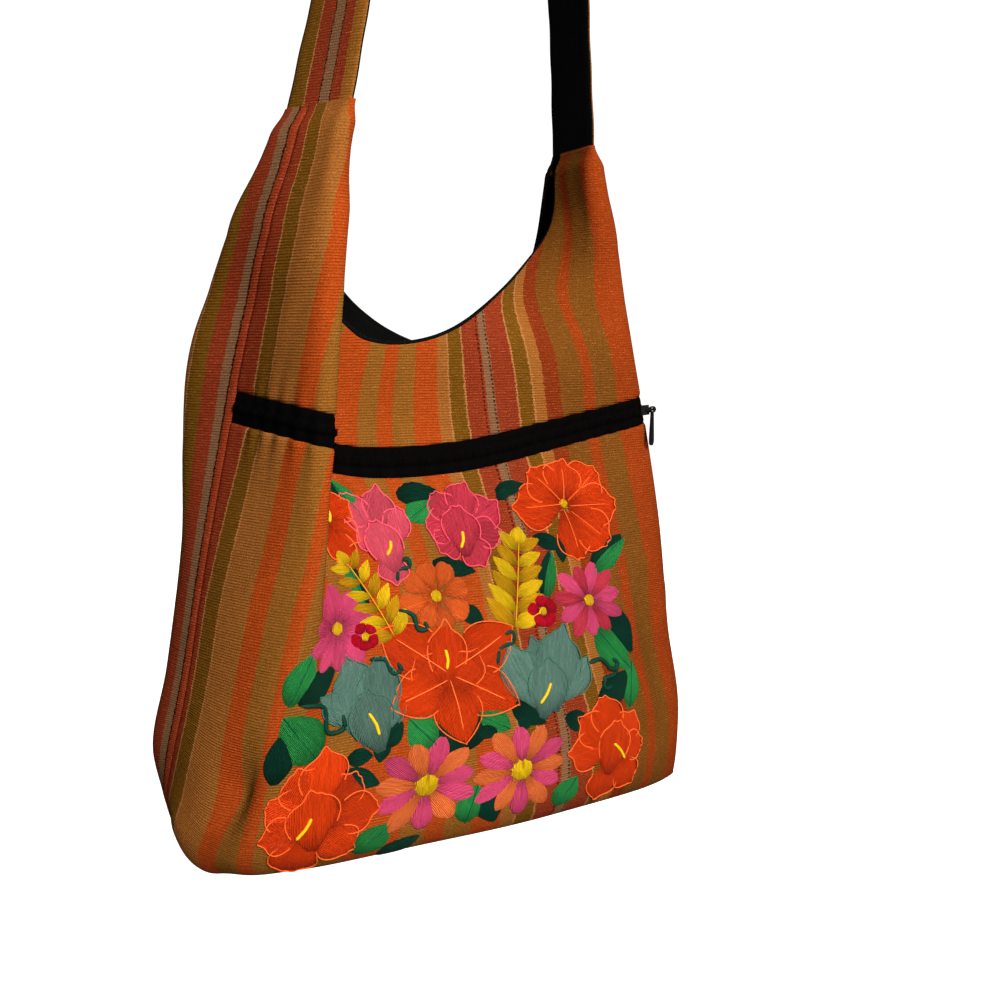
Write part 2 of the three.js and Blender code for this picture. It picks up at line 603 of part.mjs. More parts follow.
const zipHead = new THREE.Group();
zipHead.applyMatrix4(clothFrame(PANEL_WIDTH - SLIDER.fromRightSeam));
const clothUp = new THREE.Vector3();
const clothOut = new THREE.Vector3();
zipHead.matrix.extractBasis(new THREE.Vector3(), clothUp, clothOut);
zipHead.add(piece('zip_slider', sliderGeometry(), FINISH.metal));
const pull = piece('zip_pull', pullGeometry(), FINISH.metal);
pull.position.set(0, 0, BAR_HEIGHT);
pull.rotation.x = Math.atan2(clothOut.z, clothUp.z);
zipHead.add(pull);
group.add(zipHead);

export default group;
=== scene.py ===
"""Looks of the embroidered hobo bag: striped cotton, black lining, zip, strap and satin-stitch flowers."""
import logging
import math
from dataclasses import dataclass, field
from enum import Enum, IntEnum
from typing import Iterator, Sequence

import bpy
import numpy as np
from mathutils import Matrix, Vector


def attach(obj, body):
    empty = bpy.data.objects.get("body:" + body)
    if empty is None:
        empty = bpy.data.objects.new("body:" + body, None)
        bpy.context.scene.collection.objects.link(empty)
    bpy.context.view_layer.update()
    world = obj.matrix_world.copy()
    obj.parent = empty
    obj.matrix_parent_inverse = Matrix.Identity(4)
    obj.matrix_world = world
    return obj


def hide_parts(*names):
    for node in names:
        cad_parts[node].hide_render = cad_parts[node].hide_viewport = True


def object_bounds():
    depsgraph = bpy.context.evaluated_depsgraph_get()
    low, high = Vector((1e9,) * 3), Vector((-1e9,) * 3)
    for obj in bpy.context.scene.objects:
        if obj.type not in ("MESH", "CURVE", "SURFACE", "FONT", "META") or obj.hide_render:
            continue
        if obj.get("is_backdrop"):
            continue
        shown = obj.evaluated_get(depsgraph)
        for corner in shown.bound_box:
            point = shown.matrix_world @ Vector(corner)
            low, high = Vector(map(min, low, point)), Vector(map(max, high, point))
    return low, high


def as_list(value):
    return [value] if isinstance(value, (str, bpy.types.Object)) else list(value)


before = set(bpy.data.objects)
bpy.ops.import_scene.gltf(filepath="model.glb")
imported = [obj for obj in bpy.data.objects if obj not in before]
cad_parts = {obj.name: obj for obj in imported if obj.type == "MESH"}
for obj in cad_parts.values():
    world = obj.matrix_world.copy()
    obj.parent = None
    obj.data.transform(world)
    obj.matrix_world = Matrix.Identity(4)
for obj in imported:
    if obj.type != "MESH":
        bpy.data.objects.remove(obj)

Array = np.ndarray
Place = tuple[float, float]
Point = tuple[float, float, float]
Colour = tuple[float, float, float]
Piece = bpy.types.Object

LOG = logging.getLogger("bag")
MM = 0.001
# From the cloth's own frame to the part's, in millimetres
CAD_SHIFT = np.array([-49.675, 12.684, -832.859])
BODY = "bag"
# Taken from a table's size, so that a reading stays inside its last cell
LAST_CELL = 1.001
# Distance in millimetres within which two places are the same
TOUCH = 0.01
# Least length that a direction is divided by
LEAST_LENGTH = 1e-12


def smooth(start: float, end: float, value: Array | float) -> Array:
    """Smooth step of value from 0 at start to 1 at end."""
    share = np.clip((np.asarray(value, float) - start) / (end - start), 0.0, 1.0)
    return share * share * (3.0 - 2.0 * share)


def bump(value: Array, centre: float, reach: float) -> Array:
    """Soft bell of height 1 about centre."""
    return np.exp(-(((value - centre) / reach) ** 2))


def linear(red: int, green: int, blue: int) -> Colour:
    """Linear colour of an 8-bit display colour."""
    shares = [channel / 255.0 for channel in (red, green, blue)]
    return tuple(s / 12.92 if s <= 0.04045 else ((s + 0.055) / 1.055) ** 2.4 for s in shares)


def unit(vectors: Array) -> Array:
    """Vectors made one long, along their last axis."""
    return vectors / np.maximum(np.linalg.norm(vectors, axis=-1, keepdims=True), LEAST_LENGTH)


def distances(points: Array) -> Array:
    """Distance of each point along a line of points, 0 at the first one."""
    return np.concatenate([[0.0], np.cumsum(np.linalg.norm(np.diff(points, axis=0), axis=1))])


def cubic(t: Array, first: Array, leaving: Array, last: Array, arriving: Array) -> Array:
    """Smooth way from one value to another.

    Args:
        t: Shares of the way, 0 to 1.
        first: Value at share 0.
        leaving: Slope there.
        last: Value at share 1.
        arriving: Slope there.

    Returns:
        The value at each share.
    """
    return (
        (2 * t**3 - 3 * t**2 + 1) * first
        + (t**3 - 2 * t**2 + t) * leaving
        + (3 * t**2 - 2 * t**3) * last
        + (t**3 - t**2) * arriving
    )


def hermite(places: Array, values: Array, at: Array | float) -> Array:
    """Smooth values through the rows of a table.

    Args:
        places: Place of each row, rising.
        values: Value of each row, one or more numbers a row.
        at: Places to read, a single one where a row has more than one number.

    Returns:
        The values there.
    """
    at = np.clip(at, places[0], places[-1])
    column = (-1,) + (1,) * (values.ndim - 1)
    slopes = np.diff(values, axis=0) / np.diff(places).reshape(column)
    tangents = np.concatenate([slopes[:1], (slopes[1:] + slopes[:-1]) / 2.0, slopes[-1:]])
    row = np.clip(np.searchsorted(places, at) - 1, 0, len(places) - 2)
    span = places[row + 1] - places[row]
    t = (at - places[row]) / span
    return cubic(t, values[row], span * tangents[row], values[row + 1], span * tangents[row + 1])


def closed_curve(corners: Array, steps: int) -> Array:
    """Smooth closed curve through corners in plan.

    Args:
        corners: Points in order round the curve.
        steps: Points from each corner to the next.

    Returns:
        The curve's points, the first one again at the end.
    """
    before, after, beyond = np.roll(corners, 1, 0), np.roll(corners, -1, 0), np.roll(corners, -2, 0)
    d0, d1, d2 = (
        np.sqrt(np.linalg.norm(b - a, axis=1))[:, None]
        for a, b in ((before, corners), (corners, after), (after, beyond))
    )
    start = ((corners - before) / d0 - (after - before) / (d0 + d1) + (after - corners) / d1) * d1
    end = ((after - corners) / d1 - (beyond - corners) / (d1 + d2) + (beyond - after) / d2) * d1
    t = (np.arange(steps) / steps)[None, :, None]
    points = cubic(t, corners[:, None], start[:, None], after[:, None], end[:, None])
    return np.vstack([points.reshape(-1, 2), corners[:1]])


class Side(Enum):
    """The two panels of the bag."""

    FRONT = "front"
    BACK = "back"

    @property
    def other(self) -> "Side":
        """The panel sewn to this one."""
        return Side.BACK if self is Side.FRONT else Side.FRONT


@dataclass
class ClothShape:
    """The hanging cloth's outer face: a point for each place across (p) and height (z), in millimetres.

    The sections are closed curves in plan at rising heights. Their ribs run from the left side seam across
    the front to the right side seam and back.
    """

    panel_width: float = 450.0
    horn_top: float = 532.0
    # Bottom: height of its turn, power of the turn, share by which its left end is tucked in
    bottom_turn: float = 42.0
    bottom_flatness: float = 0.5
    bottom_tuck: float = 0.012
    # Height below which the outward direction turns down
    bottom_edge: float = 4.0
    section_floor: float = 25.0
    horn_blend: Place = (400.0, 496.0)
    middle_blend: Place = (105.0, 345.0)
    # Mouth: its ends' distance from the seams, place and height of its lowest points, power at the back
    scoop_edge: float = 71.0
    front_scoop: Place = (216.0, 378.0)
    back_scoop: Place = (290.0, 368.0)
    back_power: float = 2.0
    # Lower left corner: how far it is drawn up, over which distance from the seam and up to which height
    left_corner: tuple[float, float, float] = (26.0, 60.0, 150.0)
    zip_band: float = 22.0
    rib_steps: int = 24
    right_seam_rib: int = 7
    step_p: float = 1.5
    step_z: float = 1.0
    # Half distances across and up over which a direction is read
    probe: Place = (1.5, 3.0)
    # Length shared out over the columns beside the mouth's edge, and the least distance between columns
    edge_columns: Place = (130.0, 0.05)
    section_heights: tuple[float, ...] = (25, 75, 140, 230, 302, 380, 452)
    sections: tuple[tuple[Place, ...], ...] = (
        ((-203, 10), (-172, -72), (-138, -83), (-95, -88), (20, -93), (140, -86), (203, -64),
         (218, -46), (203, 6), (128, 60), (0, 74), (-140, 70), (-201, 34)),
        ((-196, 3), (-162, -76), (-130, -84), (-90, -86), (20, -92), (140, -84), (204, -63),
         (218, -45), (203, 9), (128, 62), (0, 76), (-140, 72), (-206, 35)),
        ((-184, 0), (-138, -82), (-118, -84), (-90, -74), (20, -85), (134, -77), (195, -59),
         (206, -44), (193, 11), (121, 62), (0, 76), (-131, 71), (-193, 36)),
        ((-166, 0), (-112, -80), (-100, -79), (-97, -54), (20, -68), (130, -62), (188, -52),
         (196, -42), (175, 12), (110, 56), (0, 68), (-120, 66), (-176, 40)),
        ((-150, 0), (-105, -79), (-93, -79), (-102, -36), (20, -57), (120, -54), (175, -50),
         (182, -42), (160, 8), (100, 52), (0, 64), (-120, 62), (-172, 42)),
        ((-135, -15), (-99, -84), (-87, -84), (-94, -40), (0, -55), (110, -52), (161, -47),
         (166, -38), (160, 20), (105, 52), (0, 60), (-115, 50), (-163, 28)),
        ((-121, -46), (-93, -86), (-79, -84), (-86, -50), (0, -50), (96, 10), (153, -34),
         (157, -24), (141, 54), (104, 56), (0, 62), (-95, 18), (-137, 1)),
    )
    # Horn rows: height, centre x, centre y, turn, half width, half thickness, seam's place
    left_horn: tuple[tuple[float, ...], ...] = (
        (420, -121, -36, 31, 63, 17, -4),
        (452, -111.8, -45.6, 31, 52.4, 12, -4.4),
        (512, -94.8, -53.5, 31, 34.5, 7.8, -5.5),
        (532, -88, -55, 31, 35, 7.2, -10),
    )
    right_horn: tuple[tuple[float, ...], ...] = (
        (420, 145, 20, 12, 61, 17, 44),
        (452, 144, 19, 10, 53, 14, 38),
        (512, 144.3, 16.5, 3, 37, 9, 27),
        (532, 143, 16, 3, 35, 7.8, 25),
    )
    # Zip line rows: place across, height of the zip's middle
    zip_line: tuple[Place, ...] = ((0, 335), (101, 322), (185, 296), (258, 296), (350, 309), (450, 326))
    # Dent rows: place across, height, reach across, reach along, lean, depth
    dents: tuple[tuple[float, ...], ...] = (
        (75, 72, 21, 30, 0.12, -16),
        (38, 5, 32, 22, 0, 9),
        (408, 130, 12, 60, 0, -5),
        (424, 190, 9, 22, -0.7, 3),
    )
    dent_fade: float = 20.0
    # Where each horn closes on the strap: height, share of its width and of its thickness kept
    horn_close: tuple[float, float, float] = (515.0, 0.86, 0.36)
    # Soft folds: height, lengths of one wave across and up, of the other up and across, fade at the seams
    soft_folds: tuple[float, ...] = (0.9, 31.0, 57.0, 43.0, 71.0, 25.0)
    # Grooves of the side seams and along the zip: depth, half width
    seam_groove: Place = (1.3, 1.7)
    zip_groove: Place = (0.9, 1.2)
    # Gather rows: height, place of a crest, length, middle of the gathers, their reach
    gathers: tuple[tuple[float, ...], ...] = ((0.35, 372.0, 3.9, 385.0, 32.0), (0.5, 40.0, 4.6, 45.0, 26.0))
    # Heights where the gathers start, are full, start to fade and end
    gather_heights: tuple[float, float, float, float] = (330.0, 450.0, 500.0, 540.0)
    # Puckers along the zip: length, unevenness and its length, where they start and are full beside a seam
    puckers: tuple[float, ...] = (2.2, 1.9, 23.0, 4.0, 30.0)
    # Heights of the puckers below and above the zip, and their reach from it
    pucker_heights: Place = (1.2, 0.6)
    pucker_reach: float = 13.0

    def __post_init__(self) -> None:
        """Reads the sections and horns once into a fine table of plan points for each panel."""
        self.heights = np.arange(0.0, self.horn_top + self.step_z / 2, self.step_z)
        self.places = np.arange(0.0, self.panel_width + self.step_p / 2, self.step_p)
        self.tables = {side: np.empty((len(self.heights), len(self.places), 2)) for side in Side}
        for row, height in enumerate(self.heights):
            curve = self._section(max(height, self.section_floor))
            for side in Side:
                self.tables[side][row] = self._plan_row(side, height, curve)

    def _section(self, height: float) -> tuple[Array, Array]:
        """Curve of the body at a height, with the distance along it of each point.

        Args:
            height: Height of the row.

        Returns:
            Points of the curve and their distances along it.
        """
        places = np.array(self.section_heights, float)
        corners = hermite(places, np.array(self.sections, float), height)
        curve = closed_curve(corners, self.rib_steps)
        return curve, distances(curve)

    def _plan_row(self, side: Side, height: float, section: tuple[Array, Array]) -> Array:
        """Plan points of one panel at a height, at every place across.

        Args:
            side: Panel.
            height: Height of the row.
            section: Curve of the body there and the distances along it.

        Returns:
            One plan point for each place across.
        """
        curve, lengths = section
        right, total = lengths[self.right_seam_rib * self.rib_steps], lengths[-1]
        p, rest = self.places, self.panel_width - self.places

        def at(distance: Array) -> Array:
            """Points of the curve at distances along it."""
            return np.stack([np.interp(distance, lengths, curve[:, k]) for k in (0, 1)], -1)

        front = side is Side.FRONT
        by_left = at(p if front else total - p)
        by_right = at(right - rest if front else right + rest)
        plan = by_left + (by_right - by_left) * smooth(*self.middle_blend, p)[:, None]
        share = float(smooth(*self.horn_blend, height))
        if share > 0.0:
            left = (p < self.panel_width / 2)[:, None]
            left_tube = self._horn(self.left_horn, -1, side, p, height)
            right_tube = self._horn(self.right_horn, 1, side, rest, height)
            plan = plan + (np.where(left, left_tube, right_tube) - plan) * share
        if height < self.bottom_turn:
            seam = np.array(self.sections[0], float)
            ends = seam[0], seam[self.right_seam_rib]
            tuck = self.bottom_tuck + (1.0 - self.bottom_tuck) * p / self.panel_width
            line = ends[0] + (ends[1] - ends[0]) * tuck[:, None]
            angle = math.acos(1.0 - height / self.bottom_turn)
            plan = line + (plan - line) * math.sin(angle) ** self.bottom_flatness
        return plan

    def _horn(self, rows: Sequence[Sequence[float]], hand: int, side: Side, p: Array, height: float) -> Array:
        """Plan points of a horn's flattened tube.

        Args:
            rows: The horn's table.
            hand: -1 for the left horn, 1 for the right one.
            side: Panel.
            p: Cloth distances from the horn's side seam.
            height: Height of the row.

        Returns:
            One plan point for each distance.
        """
        table = np.array(rows, float)
        x, y, turn, half, thick, seam = hermite(table[:, 0], table[:, 1:], height)
        angle = math.radians(turn)
        across = np.array([math.sin(angle), -math.cos(angle)])
        outward = hand * np.array([math.cos(angle), math.sin(angle)])
        way = 1.0 if side is Side.FRONT else -1.0
        flat = half - thick
        outer = flat - way * seam
        past = np.clip((p - outer) / thick, 0.0, math.pi)
        along = np.where(p <= outer, seam + way * p, way * (flat + thick * np.sin(past)))
        along = np.where(past >= math.pi, way * (flat - (p - outer - math.pi * thick)), along)
        out = thick * np.cos(past)
        start, width_kept, thickness_kept = self.horn_close
        close = float(smooth(start, self.horn_top, height))
        along = along * (1.0 + (width_kept - 1.0) * close)
        out = out * (1.0 + (thickness_kept - 1.0) * close)
        return np.array([x, y]) + along[:, None] * across + out[:, None] * outward

    def _read(self, side: Side, p: Array, z: Array) -> Array:
        """Plan points of a panel between the table's rows and columns.

        Args:
            side: Panel.
            p: Places across.
            z: Heights, of the same shape.

        Returns:
            One plan point for each place.
        """
        table = self.tables[side]
        column = np.clip(p / self.step_p, 0.0, table.shape[1] - LAST_CELL)
        row = np.clip(z / self.step_z, 0.0, table.shape[0] - LAST_CELL)
        c, r = column.astype(int), row.astype(int)
        u, v = (column - c)[..., None], (row - r)[..., None]
        low = table[r, c] * (1 - u) + table[r, c + 1] * u
        high = table[r + 1, c] * (1 - u) + table[r + 1, c + 1] * u
        return low * (1 - v) + high * v

    def outer(self, side: Side, p: Array, z: Array) -> Array:
        """Point of the cloth's outer face. Places past a side seam lie on the other panel.

        Args:
            side: Panel.
            p: Places across, from the left side seam.
            z: Heights, of the same shape.

        Returns:
            Points in the cloth's own frame, in millimetres.
        """
        z = np.clip(z, 0.0, self.horn_top)
        width = self.panel_width
        folded = np.where(p < 0, -p, np.where(p > width, 2 * width - p, p))
        over = ((p < 0) | (p > width))[..., None]
        plan = np.where(over, self._read(side.other, folded, z), self._read(side, folded, z))
        return np.concatenate([plan, (z + self.corner_lift(folded, z))[..., None]], -1)

    def corner_lift(self, p: Array, z: Array) -> Array:
        """How far the lower left corner is drawn up towards its side seam."""
        lift, reach, height = self.left_corner
        return lift * (1.0 - smooth(0.0, reach, p)) * (1.0 - smooth(0.0, height, z))

    def outward(self, side: Side, p: Array, z: Array) -> Array:
        """Outward direction of the cloth's face at places p and heights z.

        Args:
            side: Panel.
            p: Places across.
            z: Heights, of the same shape.

        Returns:
            Directions one long.
        """
        dp, dz = self.probe
        across = self.outer(side, p + dp, z) - self.outer(side, p - dp, z)
        rise = self.outer(side, p, z + dz) - self.outer(side, p, z - dz)
        out = unit(np.cross(across, rise) * (1.0 if side is Side.FRONT else -1.0))
        low = smooth(self.bottom_edge, 0.0, z)[..., None]
        return unit(out * (1.0 - low) + np.array([0.0, 0.0, -1.0]) * low)

    def relief(self, side: Side, p: Array, z: Array) -> Array:
        """Height of the cloth's dents, puckers and soft folds over its plain face, in millimetres.

        Args:
            side: Panel.
            p: Places across.
            z: Heights, of the same shape.

        Returns:
            One height for each place.
        """
        seam = np.minimum(np.abs(p), np.abs(self.panel_width - p))
        height, across, up, second_up, second_across, fade = self.soft_folds
        waves = np.sin(p / across + z / up) * np.sin(z / second_up - p / second_across)
        depth, half = self.seam_groove
        total = height * waves * smooth(0, fade, seam) - depth * bump(seam, 0.0, half)
        none, full, fading, over = self.gather_heights
        gather = smooth(none, full, z) * smooth(over, fading, z)
        for height, crest, length, middle, reach in self.gathers:
            total = total + height * gather * np.cos((p - crest) / length) * bump(p, middle, reach)
        if side is Side.BACK:
            return total
        for place, height, across, along, lean, depth in self.dents:
            u = (p - place - lean * (z - height)) / across
            dent = depth * np.exp(-(u * u + ((z - height) / along) ** 2))
            total = total + dent * smooth(0, self.dent_fade, seam)
        return total + self._zip_relief(p, z, seam)

    def _zip_relief(self, p: Array, z: Array, seam: Array) -> Array:
        """Height of the puckers and sewn grooves along the zip, at distances from the side seams.

        Args:
            p: Places across.
            z: Heights, of the same shape.
            seam: Distances from the nearer side seam.

        Returns:
            One height for each place.
        """
        length, unevenness, uneven_length, none, full = self.puckers
        wave = np.sin(p / length + unevenness * np.sin(p / uneven_length)) * smooth(none, full, seam)
        from_middle = z - self.zip_height(p)
        depth, half = self.zip_groove
        total = np.zeros_like(wave)
        for side, height in zip((-1, 1), self.pucker_heights):
            apart = np.abs(side * from_middle - self.zip_band / 2)
            pucker = height * wave * np.exp(-apart / self.pucker_reach)
            total = total + pucker - depth * bump(apart, 0.0, half)
        return total

    def face(self, side: Side, p: Array, z: Array, depth: Array | float) -> Array:
        """Point at a depth below the cloth's creased face, in the part's frame in metres.

        Args:
            side: Panel.
            p: Places across.
            z: Heights, of the same shape.
            depth: Depth below the face, less than 0 above it.

        Returns:
            One point for each place.
        """
        p, z = np.broadcast_arrays(np.asarray(p, float), np.asarray(z, float))
        step = self.relief(side, p, z) - depth
        points = self.outer(side, p, z) + self.outward(side, p, z) * step[..., None]
        return (points + CAD_SHIFT) * MM

    def zip_height(self, p: Array) -> Array:
        """Height of the zip's middle at places p."""
        table = np.array(self.zip_line, float)
        return hermite(table[:, 0], table[:, 1], p)

    def scoop_height(self, side: Side, p: Array) -> Array:
        """Height of the mouth's edge at places p.

        Args:
            side: Panel.
            p: Places across.

        Returns:
            One height for each place.
        """
        centre, low = self.front_scoop if side is Side.FRONT else self.back_scoop
        reach = np.where(p < centre, centre - self.scoop_edge, self.panel_width - self.scoop_edge - centre)
        d = np.clip(np.abs(p - centre) / reach, 0.0, 1.0)
        rise = 1.0 - np.sqrt(1.0 - d * d) if side is Side.FRONT else d**self.back_power
        return low + (self.horn_top - low) * rise

    def columns(self, side: Side, fineness: float) -> Array:
        """Places across a panel for a mesh, closer together where the mouth's edge is steep.

        Args:
            side: Panel.
            fineness: Distance between ordinary columns.

        Returns:
            Rising places from seam to seam.
        """
        edge, far = self.scoop_edge, self.panel_width - self.scoop_edge
        centre = self.front_scoop[0] if side is Side.FRONT else self.back_scoop[0]
        strips = [np.arange(0.0, edge, fineness), np.arange(far, self.panel_width + TOUCH, fineness)]
        length, least = self.edge_columns
        quarter = np.linspace(0.0, math.pi / 2, int(length / fineness))
        strips.append(centre - (centre - edge) * np.sin(quarter))
        strips.append(centre + (far - centre) * np.sin(quarter))
        places = np.unique(np.round(np.concatenate(strips + [[self.panel_width]]), 3))
        return places[np.concatenate([[True], np.diff(places) > least])]


class Draft:
    """A mesh in the making: points, faces and a few numbers carried by each point."""

    # Upward share of a cord's direction from which its section is set out from the x axis
    steep: float = 0.9

    def __init__(self, carried: Sequence[str], coloured: bool = False) -> None:
        """Starts an empty mesh.

        Args:
            carried: Names of the numbers that each point carries.
            coloured: Whether each point carries a thread colour too.
        """
        self.points: list[Array] = []
        self.faces: list[Array] = []
        self.carried: dict[str, list[Array]] = {name: [] for name in carried}
        self.colours: list[Array] | None = [] if coloured else None
        self.count = 0

    def add(self, points: Array, faces: Array, colours: Array | None = None, **carried: Array) -> None:
        """Adds points with their faces, colours and numbers.

        Args:
            points: Points, one a row.
            faces: Corner indices into these points.
            colours: Colour of each point, for a coloured mesh.
            **carried: Number of each point, by name.
        """
        self.points.append(points)
        self.faces.append(faces + self.count)
        self.count += len(points)
        for name, values in self.carried.items():
            values.append(np.asarray(carried[name], float).reshape(-1))
        if self.colours is not None:
            self.colours.append(colours)

    @staticmethod
    def quads(columns: int, rows: int, start: int = 0, round_trip: bool = False) -> Array:
        """Corner indices of a grid's quads, column by column.

        Args:
            columns: Columns of points.
            rows: Points in a column.
            start: Index of the first point.
            round_trip: Whether the last row joins the first one.

        Returns:
            Four indices a quad.
        """
        c, r = np.meshgrid(np.arange(columns - 1), np.arange(rows if round_trip else rows - 1), indexing="ij")
        up = (r + 1) % rows
        corners = (c * rows + r, (c + 1) * rows + r, (c + 1) * rows + up, c * rows + up)
        return np.stack([corner.reshape(-1) for corner in corners], 1) + start

    def sheet(self, outer: Array, inner: Array, **carried: Array) -> None:
        """Adds a closed sheet between two grids of points.

        Args:
            outer: Grid of points of the outer face, columns by rows.
            inner: Grid of points of the inner face.
            **carried: Number of each point of one face, by name.
        """
        columns, rows = outer.shape[:2]
        size = columns * rows
        faces = [self.quads(columns, rows), self.quads(columns, rows, size)[:, ::-1]]
        index = np.arange(size).reshape(columns, rows)
        border = np.concatenate([index[:, 0], index[-1, 1:], index[-2::-1, -1], index[0, -2:0:-1]])
        ahead = np.roll(border, -1)
        faces.append(np.stack([border, border + size, ahead + size, ahead], 1))
        points = np.concatenate([outer.reshape(-1, 3), inner.reshape(-1, 3)])
        doubled = {name: np.tile(np.reshape(values, -1), 2) for name, values in carried.items()}
        self.add(points, np.concatenate(faces), **doubled)

    def tube(
        self, path: Array, radius: Array | float, sides: int, colour: Colour | None = None, **carried: float
    ) -> None:
        """Adds a round cord along a path.

        Args:
            path: Points of the cord's middle.
            radius: Radius, one for all points or one for each.
            sides: Sides of its section.
            colour: Thread colour, for a coloured mesh.
            **carried: Number of the whole cord, by name.
        """
        along = unit(np.gradient(path, axis=0))
        steep = np.abs(along[:, 2:3]) >= self.steep
        first = unit(np.cross(along, np.where(steep, [[1.0, 0.0, 0.0]], [[0.0, 0.0, 1.0]])))
        second = np.cross(along, first)
        turn = np.linspace(0.0, 2 * math.pi, sides, endpoint=False)
        size = np.broadcast_to(np.asarray(radius, float), (len(path),))[:, None, None]
        ring = first[:, None] * np.cos(turn)[None, :, None] + second[:, None] * np.sin(turn)[None, :, None]
        points = (path[:, None] + ring * size).reshape(-1, 3)
        colours = None if colour is None else np.tile(np.array([*colour, 1.0]), (len(points), 1))
        values = {name: np.full(len(points), value) for name, value in carried.items()}
        self.add(points, self.quads(len(path), sides, round_trip=True), colours, **values)

    def build(self, name: str, material: bpy.types.Material) -> Piece:
        """Makes the object.

        Args:
            name: Object's name.
            material: Its finish.

        Returns:
            The object, linked to the scene.
        """
        mesh = bpy.data.meshes.new(name)
        faces = [face for block in self.faces for face in block.tolist()]
        mesh.from_pydata(np.concatenate(self.points).tolist(), [], faces)
        for key, values in self.carried.items():
            layer = mesh.attributes.new(key, "FLOAT", "POINT")
            layer.data.foreach_set("value", np.concatenate(values).astype(np.float32))
        if self.colours is not None:
            layer = mesh.attributes.new("thread", "FLOAT_COLOR", "POINT")
            layer.data.foreach_set("color", np.concatenate(self.colours).astype(np.float32).reshape(-1))
        mesh.polygons.foreach_set("use_smooth", np.ones(len(mesh.polygons), bool))
        mesh.materials.append(material)
        mesh.update()
        piece = bpy.data.objects.new(name, mesh)
        bpy.context.scene.collection.objects.link(piece)
        return piece


class Term:
    """A shader socket that can be written in sums, products and comparisons."""

    def __init__(self, graph: "Graph", socket: bpy.types.NodeSocket) -> None:
        """Wraps a node's output socket."""
        self.graph = graph
        self.socket = socket

    def _with(self, kind: str, other: "Term | float", swap: bool = False) -> "Term":
        """Result of one operation with another term or number."""
        pair = (other, self) if swap else (self, other)
        return self.graph.math(kind, *pair)

    def __add__(self, other: "Term | float") -> "Term":
        """Sum."""
        return self._with("ADD", other)

    def __sub__(self, other: "Term | float") -> "Term":
        """Difference."""
        return self._with("SUBTRACT", other)

    def __rsub__(self, other: float) -> "Term":
        """Difference from a number."""
        return self._with("SUBTRACT", other, swap=True)

    def __mul__(self, other: "Term | float") -> "Term":
        """Product."""
        return self._with("MULTIPLY", other)

    def __truediv__(self, other: "Term | float") -> "Term":
        """Quotient."""
        return self._with("DIVIDE", other)

    def __lt__(self, other: "Term | float") -> "Term":
        """1 where less, else 0."""
        return self._with("LESS_THAN", other)

    def __gt__(self, other: "Term | float") -> "Term":
        """1 where greater, else 0."""
        return self._with("GREATER_THAN", other)

    def sin(self) -> "Term":
        """Sine of an angle in radians."""
        return self.graph.math("SINE", self)

    def abs(self) -> "Term":
        """Size without its sign."""
        return self.graph.math("ABSOLUTE", self)

    def clamped(self) -> "Term":
        """Value held between 0 and 1."""
        return self.graph.math("ADD", self, 0.0, clamp=True)

    def ramp(self, start: float, span: float) -> "Term":
        """0 up to a start, then rising to 1 over a span."""
        return ((self - start) / span).clamped()


# A base and the share of each term that is added to it
Shares = tuple[float, ...]
# Middle of a noise's values, and the detail of a fine one
MIDDLE = 0.5
FINE_DETAIL = 4.0


def weighed(shares: Shares, *terms: Term) -> Term:
    """Sum of a base and of terms.

    Args:
        shares: The base, then each term's share.
        *terms: The terms.

    Returns:
        The sum.
    """
    base, first, *others = shares
    total = terms[0] * first + base
    for share, term in zip(others, terms[1:]):
        total = total + term * share
    return total


@dataclass(frozen=True)
class Grain:
    """Noise over a cloth: its scale across and up, a layer of its own and its detail."""

    across: float
    up: float
    layer: float
    detail: float = 2.0


